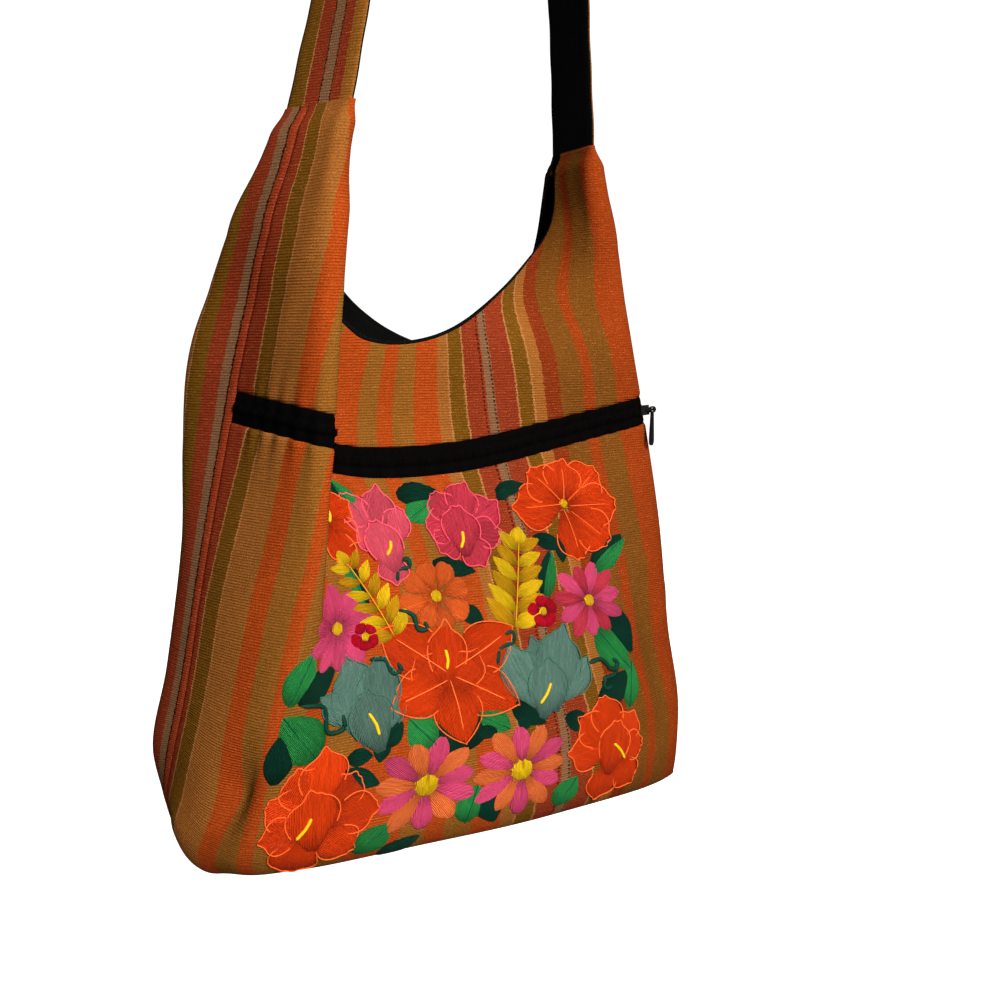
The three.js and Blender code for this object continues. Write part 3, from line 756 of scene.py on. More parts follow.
class Graph:
    """A material's nodes, built from Python expressions."""

    # Sockets of a Mix node for colours: share, first and second colour, and the result
    mix_inputs: tuple[int, int, int] = (0, 6, 7)
    mix_output: int = 2

    def __init__(self, name: str) -> None:
        """Starts a material with an empty surface.

        Args:
            name: The material's name.
        """
        self.material = bpy.data.materials.new(name)
        self.material.use_nodes = True
        self.tree = self.material.node_tree
        self.tree.nodes.clear()

    def node(self, kind: str, settings: dict | None = None, **inputs: object) -> bpy.types.Node:
        """Adds a node.

        Args:
            kind: Node type.
            settings: Properties set before the sockets.
            **inputs: Value or term for each socket, its name with underscores for spaces.

        Returns:
            The node.
        """
        node = self.tree.nodes.new(kind)
        for key, value in (settings or {}).items():
            setattr(node, key, value)
        for key, value in inputs.items():
            self._feed(node.inputs[key.replace("_", " ")], value)
        return node

    def _feed(self, socket: bpy.types.NodeSocket, value: object) -> None:
        """Links a term to a socket, or sets the socket's number or colour.

        Args:
            socket: Input socket.
            value: Term, number or colour.
        """
        if isinstance(value, Term):
            self.tree.links.new(value.socket, socket)
        else:
            socket.default_value = (*value, 1.0) if socket.type == "RGBA" else value

    def term(self, node: bpy.types.Node, output: str | int = 0) -> Term:
        """A node's output as a term."""
        return Term(self, node.outputs[output])

    def math(self, kind: str, *values: Term | float, clamp: bool = False) -> Term:
        """Result of a Math node.

        Args:
            kind: Operation.
            *values: Terms or numbers.
            clamp: Whether the result is held between 0 and 1.

        Returns:
            The result.
        """
        node = self.node("ShaderNodeMath", {"operation": kind, "use_clamp": clamp})
        for socket, value in zip(node.inputs, values):
            self._feed(socket, value)
        return self.term(node)

    def carried(self, name: str) -> Term:
        """Number that the mesh's points carry."""
        return self.term(self.node("ShaderNodeAttribute", {"attribute_name": name}), "Fac")

    def thread_colour(self) -> Term:
        """Thread colour that the mesh's points carry."""
        return self.term(self.node("ShaderNodeAttribute", {"attribute_name": "thread"}), "Color")

    def vector(self, x: Term | float, y: Term | float, z: Term | float) -> Term:
        """Vector of three terms or numbers."""
        return self.term(self.node("ShaderNodeCombineXYZ", X=x, Y=y, Z=z))

    def noise(self, place: Term, scale: float, detail: float = 2.0) -> Term:
        """Soft noise from 0 to 1 at a place."""
        return self.term(self.node("ShaderNodeTexNoise", Vector=place, Scale=scale, Detail=detail))

    def grain(self, across: Term, up: Term, grain: Grain) -> Term:
        """Noise over a cloth at its carried numbers."""
        return self.noise(self.vector(across * grain.across, up * grain.up, grain.layer), 1.0, grain.detail)

    def mix(
        self, first: Term | Colour, second: Term | Colour, share: Term | float, blend: str = "MIX"
    ) -> Term:
        """Mix of two colours.

        Args:
            first: Colour at share 0.
            second: Colour at share 1.
            share: Share of the second colour.
            blend: Blend type.

        Returns:
            The mixed colour.
        """
        node = self.node("ShaderNodeMix", {"data_type": "RGBA", "blend_type": blend})
        for index, value in zip(self.mix_inputs, (share, first, second)):
            self._feed(node.inputs[index], value)
        return self.term(node, self.mix_output)

    def shaded(self, colour: Term | Colour, value: Term) -> Term:
        """Colour made lighter or darker by a value about 1."""
        grey = self.term(self.node("ShaderNodeCombineColor", Red=value, Green=value, Blue=value))
        return self.mix(colour, grey, 1.0, "MULTIPLY")

    def bands(self, place: Term, edges: Sequence[float], colours: Sequence[Colour]) -> Term:
        """Colour of the band that a place from 0 to 1 lies in.

        Args:
            place: Place across the bands.
            edges: Start of each band, rising from 0.
            colours: Colour of each band.

        Returns:
            The band's colour.
        """
        node = self.node("ShaderNodeValToRGB", Fac=place)
        ramp = node.color_ramp
        ramp.interpolation = "CONSTANT"
        while len(ramp.elements) < len(edges):
            ramp.elements.new(0.5)
        for element, edge, colour in zip(ramp.elements, edges, colours):
            element.position = edge
            element.color = (*colour, 1.0)
        return self.term(node)

    def surface(
        self,
        colour: Term,
        roughness: Term | float,
        height: Term,
        relief: float,
        gloss: float,
        **fixed: object,
    ) -> bpy.types.Material:
        """Ends the material with a plain surface.

        Args:
            colour: Base colour.
            roughness: Roughness.
            height: Bump height.
            relief: Bump distance in metres.
            gloss: Specular level.
            **fixed: Other fixed values of the surface, names with underscores for spaces.

        Returns:
            The material.
        """
        normal = self.term(self.node("ShaderNodeBump", Height=height, Distance=relief, Strength=1.0))
        fixed = {"Specular_IOR_Level": gloss, **fixed}
        shader = self.node(
            "ShaderNodeBsdfPrincipled", Base_Color=colour, Roughness=roughness, Normal=normal, **fixed
        )
        self.node("ShaderNodeOutputMaterial", Surface=self.term(shader))
        return self.material


class Dye(Enum):
    """Yarn colours of the striped cloth, with two darker copies of khaki and orange as painted shade."""

    ORANGE = linear(188, 74, 20)
    KHAKI = linear(156, 96, 32)
    OLIVE = linear(122, 78, 14)
    RUST = linear(150, 54, 26)
    TAUPE = linear(140, 98, 66)
    TAN = linear(168, 100, 40)
    CREAM = linear(188, 122, 68)
    BROWN = linear(142, 52, 16)
    # The next two are khaki and orange made darker: painted shade for the right-hand stripes, which turn away
    # from the light
    KHAKI_PAINTED_SHADE = linear(130, 76, 22)
    ORANGE_PAINTED_SHADE = linear(164, 62, 15)
    DARK = linear(46, 15, 8)
    BEIGE = linear(214, 140, 84)


Stripe = tuple[Dye, float]

# Stripes across a panel from its left side seam, started before it: yarn and width in millimetres
PANEL_STRIPES: tuple[Stripe, ...] = (
    (Dye.TAUPE, 16.0), (Dye.CREAM, 2.0), (Dye.RUST, 20.0), (Dye.CREAM, 1.5), (Dye.OLIVE, 15.5),
    (Dye.CREAM, 1.4), (Dye.TAN, 26.6), (Dye.ORANGE, 18.0), (Dye.KHAKI, 19.0), (Dye.ORANGE, 11.0),
    (Dye.KHAKI, 16.0), (Dye.ORANGE, 20.0), (Dye.KHAKI, 20.0), (Dye.ORANGE, 35.0), (Dye.KHAKI, 15.0),
    (Dye.ORANGE, 12.0), (Dye.KHAKI, 17.0), (Dye.ORANGE, 20.0), (Dye.TAN, 9.5), (Dye.CREAM, 1.6),
    (Dye.OLIVE, 12.0), (Dye.CREAM, 1.6), (Dye.RUST, 16.3), (Dye.TAUPE, 8.0), (Dye.RUST, 19.0),
    (Dye.CREAM, 2.0), (Dye.OLIVE, 12.0), (Dye.CREAM, 1.6), (Dye.TAN, 8.4), (Dye.BROWN, 15.0),
    # Painted shade: the darker khaki and orange of the last stripes stand for the right side turning from the
    # light
    (Dye.KHAKI_PAINTED_SHADE, 21.0), (Dye.ORANGE_PAINTED_SHADE, 9.6), (Dye.KHAKI_PAINTED_SHADE, 21.0), (Dye.ORANGE_PAINTED_SHADE, 38.0),
)
STRIPES_START = -30.0
BACK_STRIPES: tuple[Stripe, ...] = (
    (Dye.RUST, 35.5), (Dye.DARK, 0.9), (Dye.TAUPE, 7.5), (Dye.DARK, 0.9), (Dye.RUST, 13.0),
    (Dye.CREAM, 1.2), (Dye.OLIVE, 13.0), (Dye.CREAM, 1.6), (Dye.TAN, 18.0), (Dye.ORANGE, 22.0),
    (Dye.KHAKI, 20.0), (Dye.ORANGE, 12.0), (Dye.KHAKI, 17.0), (Dye.ORANGE, 20.0), (Dye.KHAKI, 20.0),
    (Dye.ORANGE, 30.0), (Dye.KHAKI, 15.0), (Dye.ORANGE, 12.0), (Dye.KHAKI, 17.0), (Dye.ORANGE, 20.0),
    (Dye.TAN, 10.0), (Dye.CREAM, 1.6), (Dye.OLIVE, 12.0), (Dye.CREAM, 1.6), (Dye.RUST, 17.0),
    (Dye.TAUPE, 9.0), (Dye.RUST, 19.0), (Dye.CREAM, 1.6), (Dye.OLIVE, 12.0), (Dye.TAN, 18.0),
    (Dye.KHAKI, 22.0), (Dye.ORANGE, 22.0), (Dye.KHAKI, 30.0),
)
STRAP_STRIPES: tuple[Stripe, ...] = (
    (Dye.OLIVE, 15.0), (Dye.CREAM, 1.2), (Dye.RUST, 12.2), (Dye.DARK, 0.9), (Dye.TAUPE, 8.4),
    (Dye.DARK, 0.9), (Dye.RUST, 8.4), (Dye.KHAKI, 10.0),
)


@dataclass(frozen=True)
class StripedCotton:
    """Ribbed cotton with coloured warp stripes, fine weft ribs, faded yarns and dotted pick-out lines."""

    name: str
    stripes: tuple[Stripe, ...]
    start: float = 0.0
    dotted: tuple[float, ...] = ()
    drift: float = 0.0
    rib: float = 1.9
    rib_wander: float = 0.8
    sway: float = 2.0
    fray: float = 3.4
    fleck_strength: float = 0.75
    # Dots: half width of a line, length from dot to dot, level of the sine where a dot starts, strength
    dots: tuple[float, float, float, float] = (0.75, 3.2, -0.25, 0.85)
    # The left fold draws the stripes aside: place across and fade, then heights, spans and distances
    drift_fade: Place = (100.0, 70.0)
    drift_rise: Place = (200.0, 135.0)
    drift_back: tuple[float, float, float] = (335.0, 185.0, 6.0)
    drift_gather: tuple[float, float, float, float] = (380.0, 140.0, 35.0, 18.0)
    ripple: Grain = Grain(0.02, 0.25, 0.0)
    frayed: Grain = Grain(0.5, 0.6, 11.0, 3.0)
    yarn: Grain = Grain(1.6, 0.05, 3.0, 3.0)
    slub: Grain = Grain(0.12, 0.9, 7.0, 3.0)
    patch: Grain = Grain(0.012, 0.012, 1.0, 4.0)
    fleck: Grain = Grain(0.9, 0.9, 5.0, 1.0)
    # Pale flecks show where fleck and slub pass a level, rising over a span
    fleck_ramp: Place = (0.52, 1.0 / 3.0)
    slub_ramp: Place = (0.4, 1.0 / 3.0)
    # Shares of yarn, slub, patch, rib and fleck in the shade, of rib, yarn, slub and fleck in the bump
    shade: Shares = (0.2, 0.5, 0.45, 0.5, 0.09, 0.9)
    bump: Shares = (0.0, 0.3, 0.5, 0.5, 0.5)
    roughness: Shares = (0.86, 0.1)
    relief: float = 0.0006
    gloss: float = 0.05
    ramp_limit: int = 30

    def build(self) -> bpy.types.Material:
        """Makes the material from the carried numbers across and up.

        Returns:
            The material.
        """
        g = Graph(self.name)
        across, up = g.carried("across"), g.carried("up")
        ripple, frayed, yarn, slub, patch, fleck = (
            g.grain(across, up, grain)
            for grain in (self.ripple, self.frayed, self.yarn, self.slub, self.patch, self.fleck)
        )
        place = across + (ripple - MIDDLE) * self.sway + (frayed - MIDDLE) * self.fray
        if self.drift:
            place = place + self._drifted(across, up)
        rib = ((up + ripple * self.rib_wander) * (2 * math.pi / self.rib)).sin()
        light = fleck.ramp(*self.fleck_ramp) * slub.ramp(*self.slub_ramp)
        colour = g.mix(self._stripes(g, place), Dye.BEIGE.value, light * self.fleck_strength)
        colour = g.shaded(colour, weighed(self.shade, yarn, slub, patch, rib, fleck - MIDDLE))
        half, pitch, level, strength = self.dots
        for line in self.dotted:
            near = ((place - line).abs() < half) * ((up * (2 * math.pi / pitch)).sin() > level)
            colour = g.mix(colour, Dye.DARK.value, near * strength)
        height = weighed(self.bump, rib, yarn, slub, fleck)
        return g.surface(colour, weighed(self.roughness, slub), height, self.relief, self.gloss)

    def _drifted(self, across: Term, up: Term) -> Term:
        """How far the left fold draws the stripes aside.

        Args:
            across: Carried number across.
            up: Carried number up.

        Returns:
            Distance across in millimetres.
        """
        near, fade = self.drift_fade
        fading = (1.0 - (across - near) / fade).clamped()
        back, back_span, back_by = self.drift_back
        drawn = up.ramp(*self.drift_rise) * self.drift - up.ramp(back, back_span) * back_by
        low, span, reach, by = self.drift_gather
        gathered = up.ramp(low, span) * (across / reach).clamped() * by
        return (gathered - drawn) * fading

    def _stripes(self, g: Graph, place: Term) -> Term:
        """Colour of the stripe at a place, from one ramp for each run of stripes.

        Args:
            g: The material's nodes.
            place: Place across the stripes.

        Returns:
            The stripe's colour.
        """
        starts = self.start + np.concatenate([[0.0], np.cumsum([width for _, width in self.stripes])])
        colour: Term | None = None
        for first in range(0, len(self.stripes), self.ramp_limit):
            run = self.stripes[first:first + self.ramp_limit]
            low, high = starts[first], starts[first + len(run)]
            edges = [(starts[first + k] - low) / (high - low) for k in range(len(run))]
            bands = g.bands(((place - low) / (high - low)).clamped(), edges, [dye.value for dye, _ in run])
            colour = bands if colour is None else g.mix(colour, bands, place > low)
        return colour


@dataclass(frozen=True)
class BlackCotton:
    """Plain black cotton of the lining and the strap's inside, with lint and a fine weave."""

    name: str = "black_cotton"
    deep: Colour = (0.0022, 0.002, 0.0019)
    worn: Colour = (0.0095, 0.0088, 0.0082)
    weave: float = 7.2
    lint: Grain = Grain(0.35, 0.35, 2.0, 5.0)
    wide: Grain = Grain(0.02, 0.02, 4.0, 3.0)
    # Shares of lint and wide patches in the wear, of weave and lint in the bump, of lint in the roughness
    wear: Shares = (-0.3, 0.7, 0.5)
    bump: Shares = (0.0, 0.4, 1.0)
    roughness: Shares = (0.8, 0.15)
    relief: float = 0.00025
    gloss: float = 0.04

    def build(self) -> bpy.types.Material:
        """Makes the material from the carried numbers across and up.

        Returns:
            The material.
        """
        g = Graph(self.name)
        across, up = g.carried("across"), g.carried("up")
        weave = (across * self.weave).sin() * (up * self.weave).sin()
        lint, wide = g.grain(across, up, self.lint), g.grain(across, up, self.wide)
        colour = g.mix(self.deep, self.worn, weighed(self.wear, lint, wide).clamped())
        rough, height = weighed(self.roughness, lint), weighed(self.bump, weave, lint)
        return g.surface(colour, rough, height, self.relief, self.gloss)


@dataclass(frozen=True)
class ZipCloth:
    """Black zip tape in herringbone and its coil."""

    name: str = "zip_cloth"
    deep: Colour = (0.0012, 0.0009, 0.0008)
    worn: Colour = (0.0042, 0.0036, 0.0033)
    slant: float = 0.8
    weave: float = 5.2
    lint: Grain = Grain(0.3, 0.3, 9.0, 4.0)
    # Shares of lint and weave in the wear, of weave and lint in the bump, of lint in the roughness
    wear: Shares = (-0.2, 0.9, 0.15)
    bump: Shares = (0.0, 0.5, 0.5)
    roughness: Shares = (0.62, 0.25)
    relief: float = 0.00022
    gloss: float = 0.03

    def build(self) -> bpy.types.Material:
        """Makes the material from the carried numbers across and up.

        Returns:
            The material.
        """
        g = Graph(self.name)
        across, up = g.carried("across"), g.carried("up")
        herring = ((across + up.abs() * self.slant) * self.weave).sin()
        lint = g.grain(across, up, self.lint)
        colour = g.mix(self.deep, self.worn, weighed(self.wear, lint, herring).clamped())
        rough, height = weighed(self.roughness, lint), weighed(self.bump, herring, lint)
        return g.surface(colour, rough, height, self.relief, self.gloss)


@dataclass(frozen=True)
class SatinThread:
    """Glossy embroidery thread laid side by side, coloured by the threads that the points carry."""

    name: str = "satin_thread"
    strand: float = 0.95
    strand_wander: float = 1.6
    wander: Grain = Grain(0.2, 0.12, 0.0)
    yarn: Grain = Grain(0.75, 0.06, 5.0, 4.0)
    ends: Grain = Grain(0.8, 0.5, 8.0)
    # Shares of yarn, strand and ends in the shade, of strand, yarn and ends in the bump
    shade: Shares = (0.46, 1.3, 0.16, 0.7)
    bump: Shares = (0.0, 0.5, 0.8, 0.5)
    roughness: Shares = (0.5, 0.2)
    relief: float = 0.0011
    gloss: float = 0.18

    def build(self) -> bpy.types.Material:
        """Makes the material from the carried colour and the numbers stitch and along.

        Returns:
            The material.
        """
        g = Graph(self.name)
        stitch, along = g.carried("stitch"), g.carried("along")
        wander, yarn, ends = (g.grain(stitch, along, grain) for grain in (self.wander, self.yarn, self.ends))
        strand = ((stitch + wander * self.strand_wander) * (2 * math.pi / self.strand)).sin()
        colour = g.shaded(g.thread_colour(), weighed(self.shade, yarn, strand, ends))
        rough, height = weighed(self.roughness, ends), weighed(self.bump, strand, yarn, ends)
        return g.surface(colour, rough, height, self.relief, self.gloss)


@dataclass(frozen=True)
class BlackLacquer:
    """Black lacquered zinc with rubbed edges."""

    name: str = "black_lacquer"
    deep: Colour = (0.003, 0.003, 0.003)
    rubbed: Colour = (0.018, 0.016, 0.014)
    wear: float = 420.0
    # Levels of edge and wear where rubbing starts, and their shares in it
    edge_level: float = 0.52
    wear_level: float = 0.55
    rubbing: Shares = (0.0, 9.0, 0.8)
    roughness: Shares = (0.4, 0.2)
    relief: float = 0.00005
    gloss: float = 0.16

    def build(self) -> bpy.types.Material:
        """Makes the material from the object's own coordinates.

        Returns:
            The material.
        """
        g = Graph(self.name)
        worn = g.noise(g.term(g.node("ShaderNodeTexCoord"), "Object"), self.wear, FINE_DETAIL)
        edge = g.term(g.node("ShaderNodeNewGeometry"), "Pointiness")
        rubbed = weighed(self.rubbing, edge - self.edge_level, worn - self.wear_level).clamped()
        colour = g.mix(self.deep, self.rubbed, rubbed)
        return g.surface(colour, weighed(self.roughness, worn), worn, self.relief, self.gloss)


@dataclass(frozen=True)
class PaleFloor:
    """Matt pale studio paper, lit by itself."""

    name: str = "pale_floor"
    grey: Colour = (0.86, 0.86, 0.86)
    pale: Colour = (0.9, 0.9, 0.9)
    white: Colour = (1.0, 1.0, 1.0)
    glow: float = 0.95
    grain: float = 60.0
    roughness: float = 0.9
    relief: float = 0.0001
    gloss: float = 0.1

    def build(self) -> bpy.types.Material:
        """Makes the material from the object's own coordinates.

        Returns:
            The material.
        """
        g = Graph(self.name)
        grain = g.noise(g.term(g.node("ShaderNodeTexCoord"), "Object"), self.grain, FINE_DETAIL)
        colour = g.mix(self.grey, self.pale, grain)
        light = {"Emission_Color": self.white, "Emission_Strength": self.glow}
        return g.surface(colour, self.roughness, grain, self.relief, self.gloss, **light)


class Thread(Enum):
    """Embroidery thread colours."""

    RED = linear(228, 62, 6)
    ORANGE = linear(232, 96, 34)
    SALMON = linear(238, 112, 54)
    PINK = linear(228, 74, 116)
    ROSE = linear(208, 56, 74)
    CORAL = linear(238, 86, 104)
    CRIMSON = linear(192, 6, 36)
    SAGE = linear(98, 134, 118)
    YELLOW = linear(242, 192, 16)
    GOLD = linear(206, 148, 6)
    GREEN = linear(42, 142, 66)
    DARK_GREEN = linear(2, 54, 38)
    PALE = linear(246, 116, 50)
    FOREST = linear(8, 84, 56)


class Form(Enum):
    """Outlines of a stitched petal or leaf: where it is widest and how blunt it ends."""

    ROUND = (0.62, 0.55)
    POINTED = (0.48, 0.85)
    LANCE = (0.62, 0.66)
    LEAF = (0.44, 0.85)
    NOTCHED = (0.72, 0.55)


@dataclass(frozen=True)
class Petal:
    """One stitched patch: from its base to its tip, with a width, a form and a thread."""

    base: Place
    tip: Place
    width: float
    form: Form
    thread: Thread
    outline: Thread | None = None
    height: float = 1.4
    layer: float = 0.15


@dataclass(frozen=True)
class Cord:
    """One couched cord: a stem, tendril, stamen or vein through a few places on the cloth."""

    path: tuple[Place, ...]
    radius: float
    thread: Thread
    layer: float = 0.8


def toward(centre: Place, angle: float, radii: Place) -> Place:
    """Place on an ellipse about a centre, at an angle in degrees.

    Args:
        centre: Middle of the ellipse.
        angle: Degrees from the way across, turning upward.
        radii: Its radii across and up.

    Returns:
        The place.
    """
    turn = math.radians(angle)
    reach = 1.0 / math.hypot(math.cos(turn) / radii[0], math.sin(turn) / radii[1])
    return centre[0] + reach * math.cos(turn), centre[1] + reach * math.sin(turn)


@dataclass(frozen=True)
class Daisy:
    """Flower of equal petals about a stitched eye."""

    centre: Place
    radii: Place
    petals: int
    threads: tuple[Thread, ...]
    eye: float
    turn: float = 0.0
    form: Form = Form.LANCE
    fullness: float = 1.25
    layer: float = 0.3
    # Unevenness of the petals' lengths and its step from petal to petal
    uneven: Place = (0.07, 2.3)
    # Share of the eye at which petals start, share of the radius at which they have their width
    start_share: float = 0.6
    width_share: float = 0.62
    # Rise of every second petal
    overlap: float = 0.12
    # Eye: width for its radius, height, rise over the petals
    eye_form: tuple[float, float, float] = (1.9, 1.1, 0.7)

    def patches(self) -> Iterator[Petal]:
        """Its petals and eye.

        Returns:
            One patch after another.
        """
        spread, step = self.uneven
        width = self.fullness * 2 * math.pi * self.width_share * min(self.radii) / self.petals
        start = self.eye * self.start_share
        for k in range(self.petals):
            angle = self.turn + k * (360.0 / self.petals)
            long = 1.0 + spread * math.sin(step * k + self.centre[0])
            tip = toward(self.centre, angle, (self.radii[0] * long, self.radii[1] * long))
            base = toward(self.centre, angle, (start, start))
            thread = self.threads[k % len(self.threads)]
            yield Petal(base, tip, width, self.form, thread, layer=self.layer + self.overlap * (k % 2))
        p, z = self.centre
        share, height, rise = self.eye_form
        for reach in (-self.eye, self.eye):
            ends = (p, z - reach), (p, z + reach)
            yield Petal(*ends, self.eye * share, Form.ROUND, Thread.YELLOW, None, height, self.layer + rise)

    def cords(self) -> Iterator[Cord]:
        """It has no cords."""
        return iter(())


@dataclass(frozen=True)
class Bloom:
    """Flower of uneven petals given one by one, with outlines, an eye or a stamen.

    Its petals are rows of a base, a tip and a width.
    """

    petals: tuple[tuple[float, float, float, float, float], ...]
    thread: Thread
    outline: Thread | None
    form: Form = Form.ROUND
    stamen: tuple[Place, Place] | None = None
    eye: Place | None = None
    cup: tuple[float, float, float, float, float] | None = None
    veins: Thread | None = None
    # Heights and layers of petals and cup; petals lie on three layers in turn
    petal_height: float = 1.1
    petal_layers: tuple[float, float, float] = (0.3, 0.55, 0.8)
    cup_height: float = 1.2
    cup_layer: float = 1.5
    # Eye: half length, width, height, layer
    eye_form: tuple[float, float, float, float] = (4.2, 8.0, 0.9, 1.0)
    # Stamen and veins: bend, radius, layer; veins end at a share of their petal
    stamen_form: tuple[float, float, float] = (1.2, 1.25, 2.6)
    vein_form: tuple[float, float, float] = (0.8, 0.45, 1.8)
    vein_share: float = 0.78

    def patches(self) -> Iterator[Petal]:
        """Its petals, cup and eye.

        Returns:
            One patch after another.
        """
        for k, (bp, bz, tp, tz, width) in enumerate(self.petals):
            layer = self.petal_layers[k % len(self.petal_layers)]
            yield Petal(
                (bp, bz), (tp, tz), width, self.form, self.thread, self.outline, self.petal_height, layer
            )
        if self.cup:
            bp, bz, tp, tz, width = self.cup
            look = Form.ROUND, self.thread, self.outline, self.cup_height, self.cup_layer
            yield Petal((bp, bz), (tp, tz), width, *look)
        if self.eye:
            p, z = self.eye
            half, width, height, layer = self.eye_form
            yield Petal((p, z - half), (p, z + half), width, Form.ROUND, Thread.YELLOW, None, height, layer)

    def cords(self) -> Iterator[Cord]:
        """Its stamen and veins.

        Returns:
            One cord after another.
        """
        if self.stamen:
            yield self._bent(*self.stamen, Thread.YELLOW, self.stamen_form)
        if self.veins:
            for bp, bz, tp, tz, _ in self.petals:
                end = (bp + (tp - bp) * self.vein_share, bz + (tz - bz) * self.vein_share)
                yield self._bent((bp, bz), end, self.veins, self.vein_form)

    @staticmethod
    def _bent(start: Place, end: Place, thread: Thread, form: tuple[float, float, float]) -> Cord:
        """Cord from one place to another, bent a little to the right.

        Args:
            start: Where it starts.
            end: Where it ends.
            thread: Its thread.
            form: Its bend, radius and layer.

        Returns:
            The cord.
        """
        bend, radius, layer = form
        middle = ((start[0] + end[0]) / 2 + bend, (start[1] + end[1]) / 2)
        return Cord((start, middle, end), radius, thread, layer)


@dataclass(frozen=True)
class Ear:
    """Ear of grain: paired leaflets up a stalk."""

    base: Place
    tip: Place
    pairs: int
    spread: float
    # Leaflets: share by which they shrink, reach along and across for their size, width, height, layer
    shrink: float = 0.35
    reach: Place = (0.56, 0.83)
    width: float = 0.46
    height: float = 1.3
    layer: float = 0.6
    # Space left over the last pair, in steps; top leaflet: share of the ear, width, layer
    top_space: float = 0.6
    top_form: tuple[float, float, float] = (0.2, 0.5, 0.7)
    # Stalk: radius, layer
    stalk: Place = (0.55, 1.0)

    def patches(self) -> Iterator[Petal]:
        """Its leaflets.

        Returns:
            One patch after another.
        """
        way = np.array(self.tip, float) - np.array(self.base, float)
        length = float(np.linalg.norm(way))
        way /= length
        side = np.array([way[1], -way[0]])
        along, across = self.reach
        for k in range(self.pairs):
            start = np.array(self.base) + way * length * (k / (self.pairs + self.top_space))
            size = self.spread * (1.0 - self.shrink * k / self.pairs)
            for hand in (-1, 1):
                tip = start + way * size * along + side * hand * size * across
                thread = Thread.YELLOW if (k + (hand > 0)) % 2 else Thread.GOLD
                look = size * self.width, Form.LEAF, thread, None, self.height, self.layer
                yield Petal(tuple(start), tuple(tip), *look)
        share, width, layer = self.top_form
        top = np.array(self.tip, float)
        look = self.spread * width, Form.LEAF, Thread.YELLOW, None, self.height, layer
        yield Petal(tuple(top - way * length * share), tuple(top), *look)

    def cords(self) -> Iterator[Cord]:
        """Its stalk.

        Returns:
            One cord after another.
        """
        middle = ((self.base[0] + self.tip[0]) / 2, (self.base[1] + self.tip[1]) / 2)
        radius, layer = self.stalk
        yield Cord((self.base, middle, self.tip), radius, Thread.GOLD, layer)


class Tone(IntEnum):
    """Threads of a leaf."""

    DARK = 0
    BRIGHT = 1
    HALVES = 2


@dataclass(frozen=True)
class Sprig:
    """Leaves and tendrils that fill the ground between the flowers.

    Leaf rows are a base, a tip, a width and a tone's number. Tendril rows are a base and a tip.
    """

    leaves: tuple[tuple[float, float, float, float, float, int], ...]
    tendrils: tuple[tuple[float, float, float, float], ...]
    fullness: float = 1.55
    height: float = 0.9
    layer: float = 0.1
    # Halves of a leaf: shift and width for the leaf's width, share of the shift at base and tip, rise of one
    half_shift: float = 0.22
    half_width: float = 0.62
    half_ends: Place = (0.4, 0.5)
    half_rise: float = 0.15
    # Tendrils: places along and aside for their length, radius, layer
    curl: tuple[Place, ...] = ((0.4, 0.22), (0.8, 0.02), (1.0, 0.22), (0.78, 0.36))
    tendril: Place = (1.8, 0.5)
    # Veins: radius, layer
    vein: Place = (0.35, 1.05)

    def patches(self) -> Iterator[Petal]:
        """Its leaves, two-toned ones as two halves.

        Returns:
            One patch after another.
        """
        for bp, bz, tp, tz, width, tone in self.leaves:
            full = width * self.fullness
            if tone != Tone.HALVES:
                thread = Thread.GREEN if tone == Tone.BRIGHT else Thread.DARK_GREEN
                yield Petal((bp, bz), (tp, tz), full, Form.LEAF, thread, None, self.height, self.layer)
                continue
            across = unit(np.array([tz - bz, bp - tp], float)) * width * self.half_shift
            low, high = self.half_ends
            for hand, thread, rise in ((-1, Thread.DARK_GREEN, 0.0), (1, Thread.GREEN, self.half_rise)):
                base = (bp + hand * across[0] * low, bz + hand * across[1] * low)
                tip = (tp + hand * across[0] * high, tz + hand * across[1] * high)
                look = Form.LEAF, thread, None, self.height, self.layer + rise
                yield Petal(base, tip, full * self.half_width, *look)

    def cords(self) -> Iterator[Cord]:
        """Its curled tendrils and the veins of its leaves.

        Returns:
            One cord after another.
        """
        radius, layer = self.tendril
        for bp, bz, tp, tz in self.tendrils:
            run, rise = tp - bp, tz - bz
            places = [(bp + run * far - rise * off, bz + rise * far + run * off) for far, off in self.curl]
            yield Cord(((bp, bz), *places), radius, Thread.DARK_GREEN, layer)
        radius, layer = self.vein
        for bp, bz, tp, tz, _, tone in self.leaves:
            if tone != Tone.DARK:
                middle = ((bp + tp) / 2, (bz + tz) / 2)
                yield Cord(((bp, bz), middle, (tp, tz)), radius, Thread.FOREST, layer)


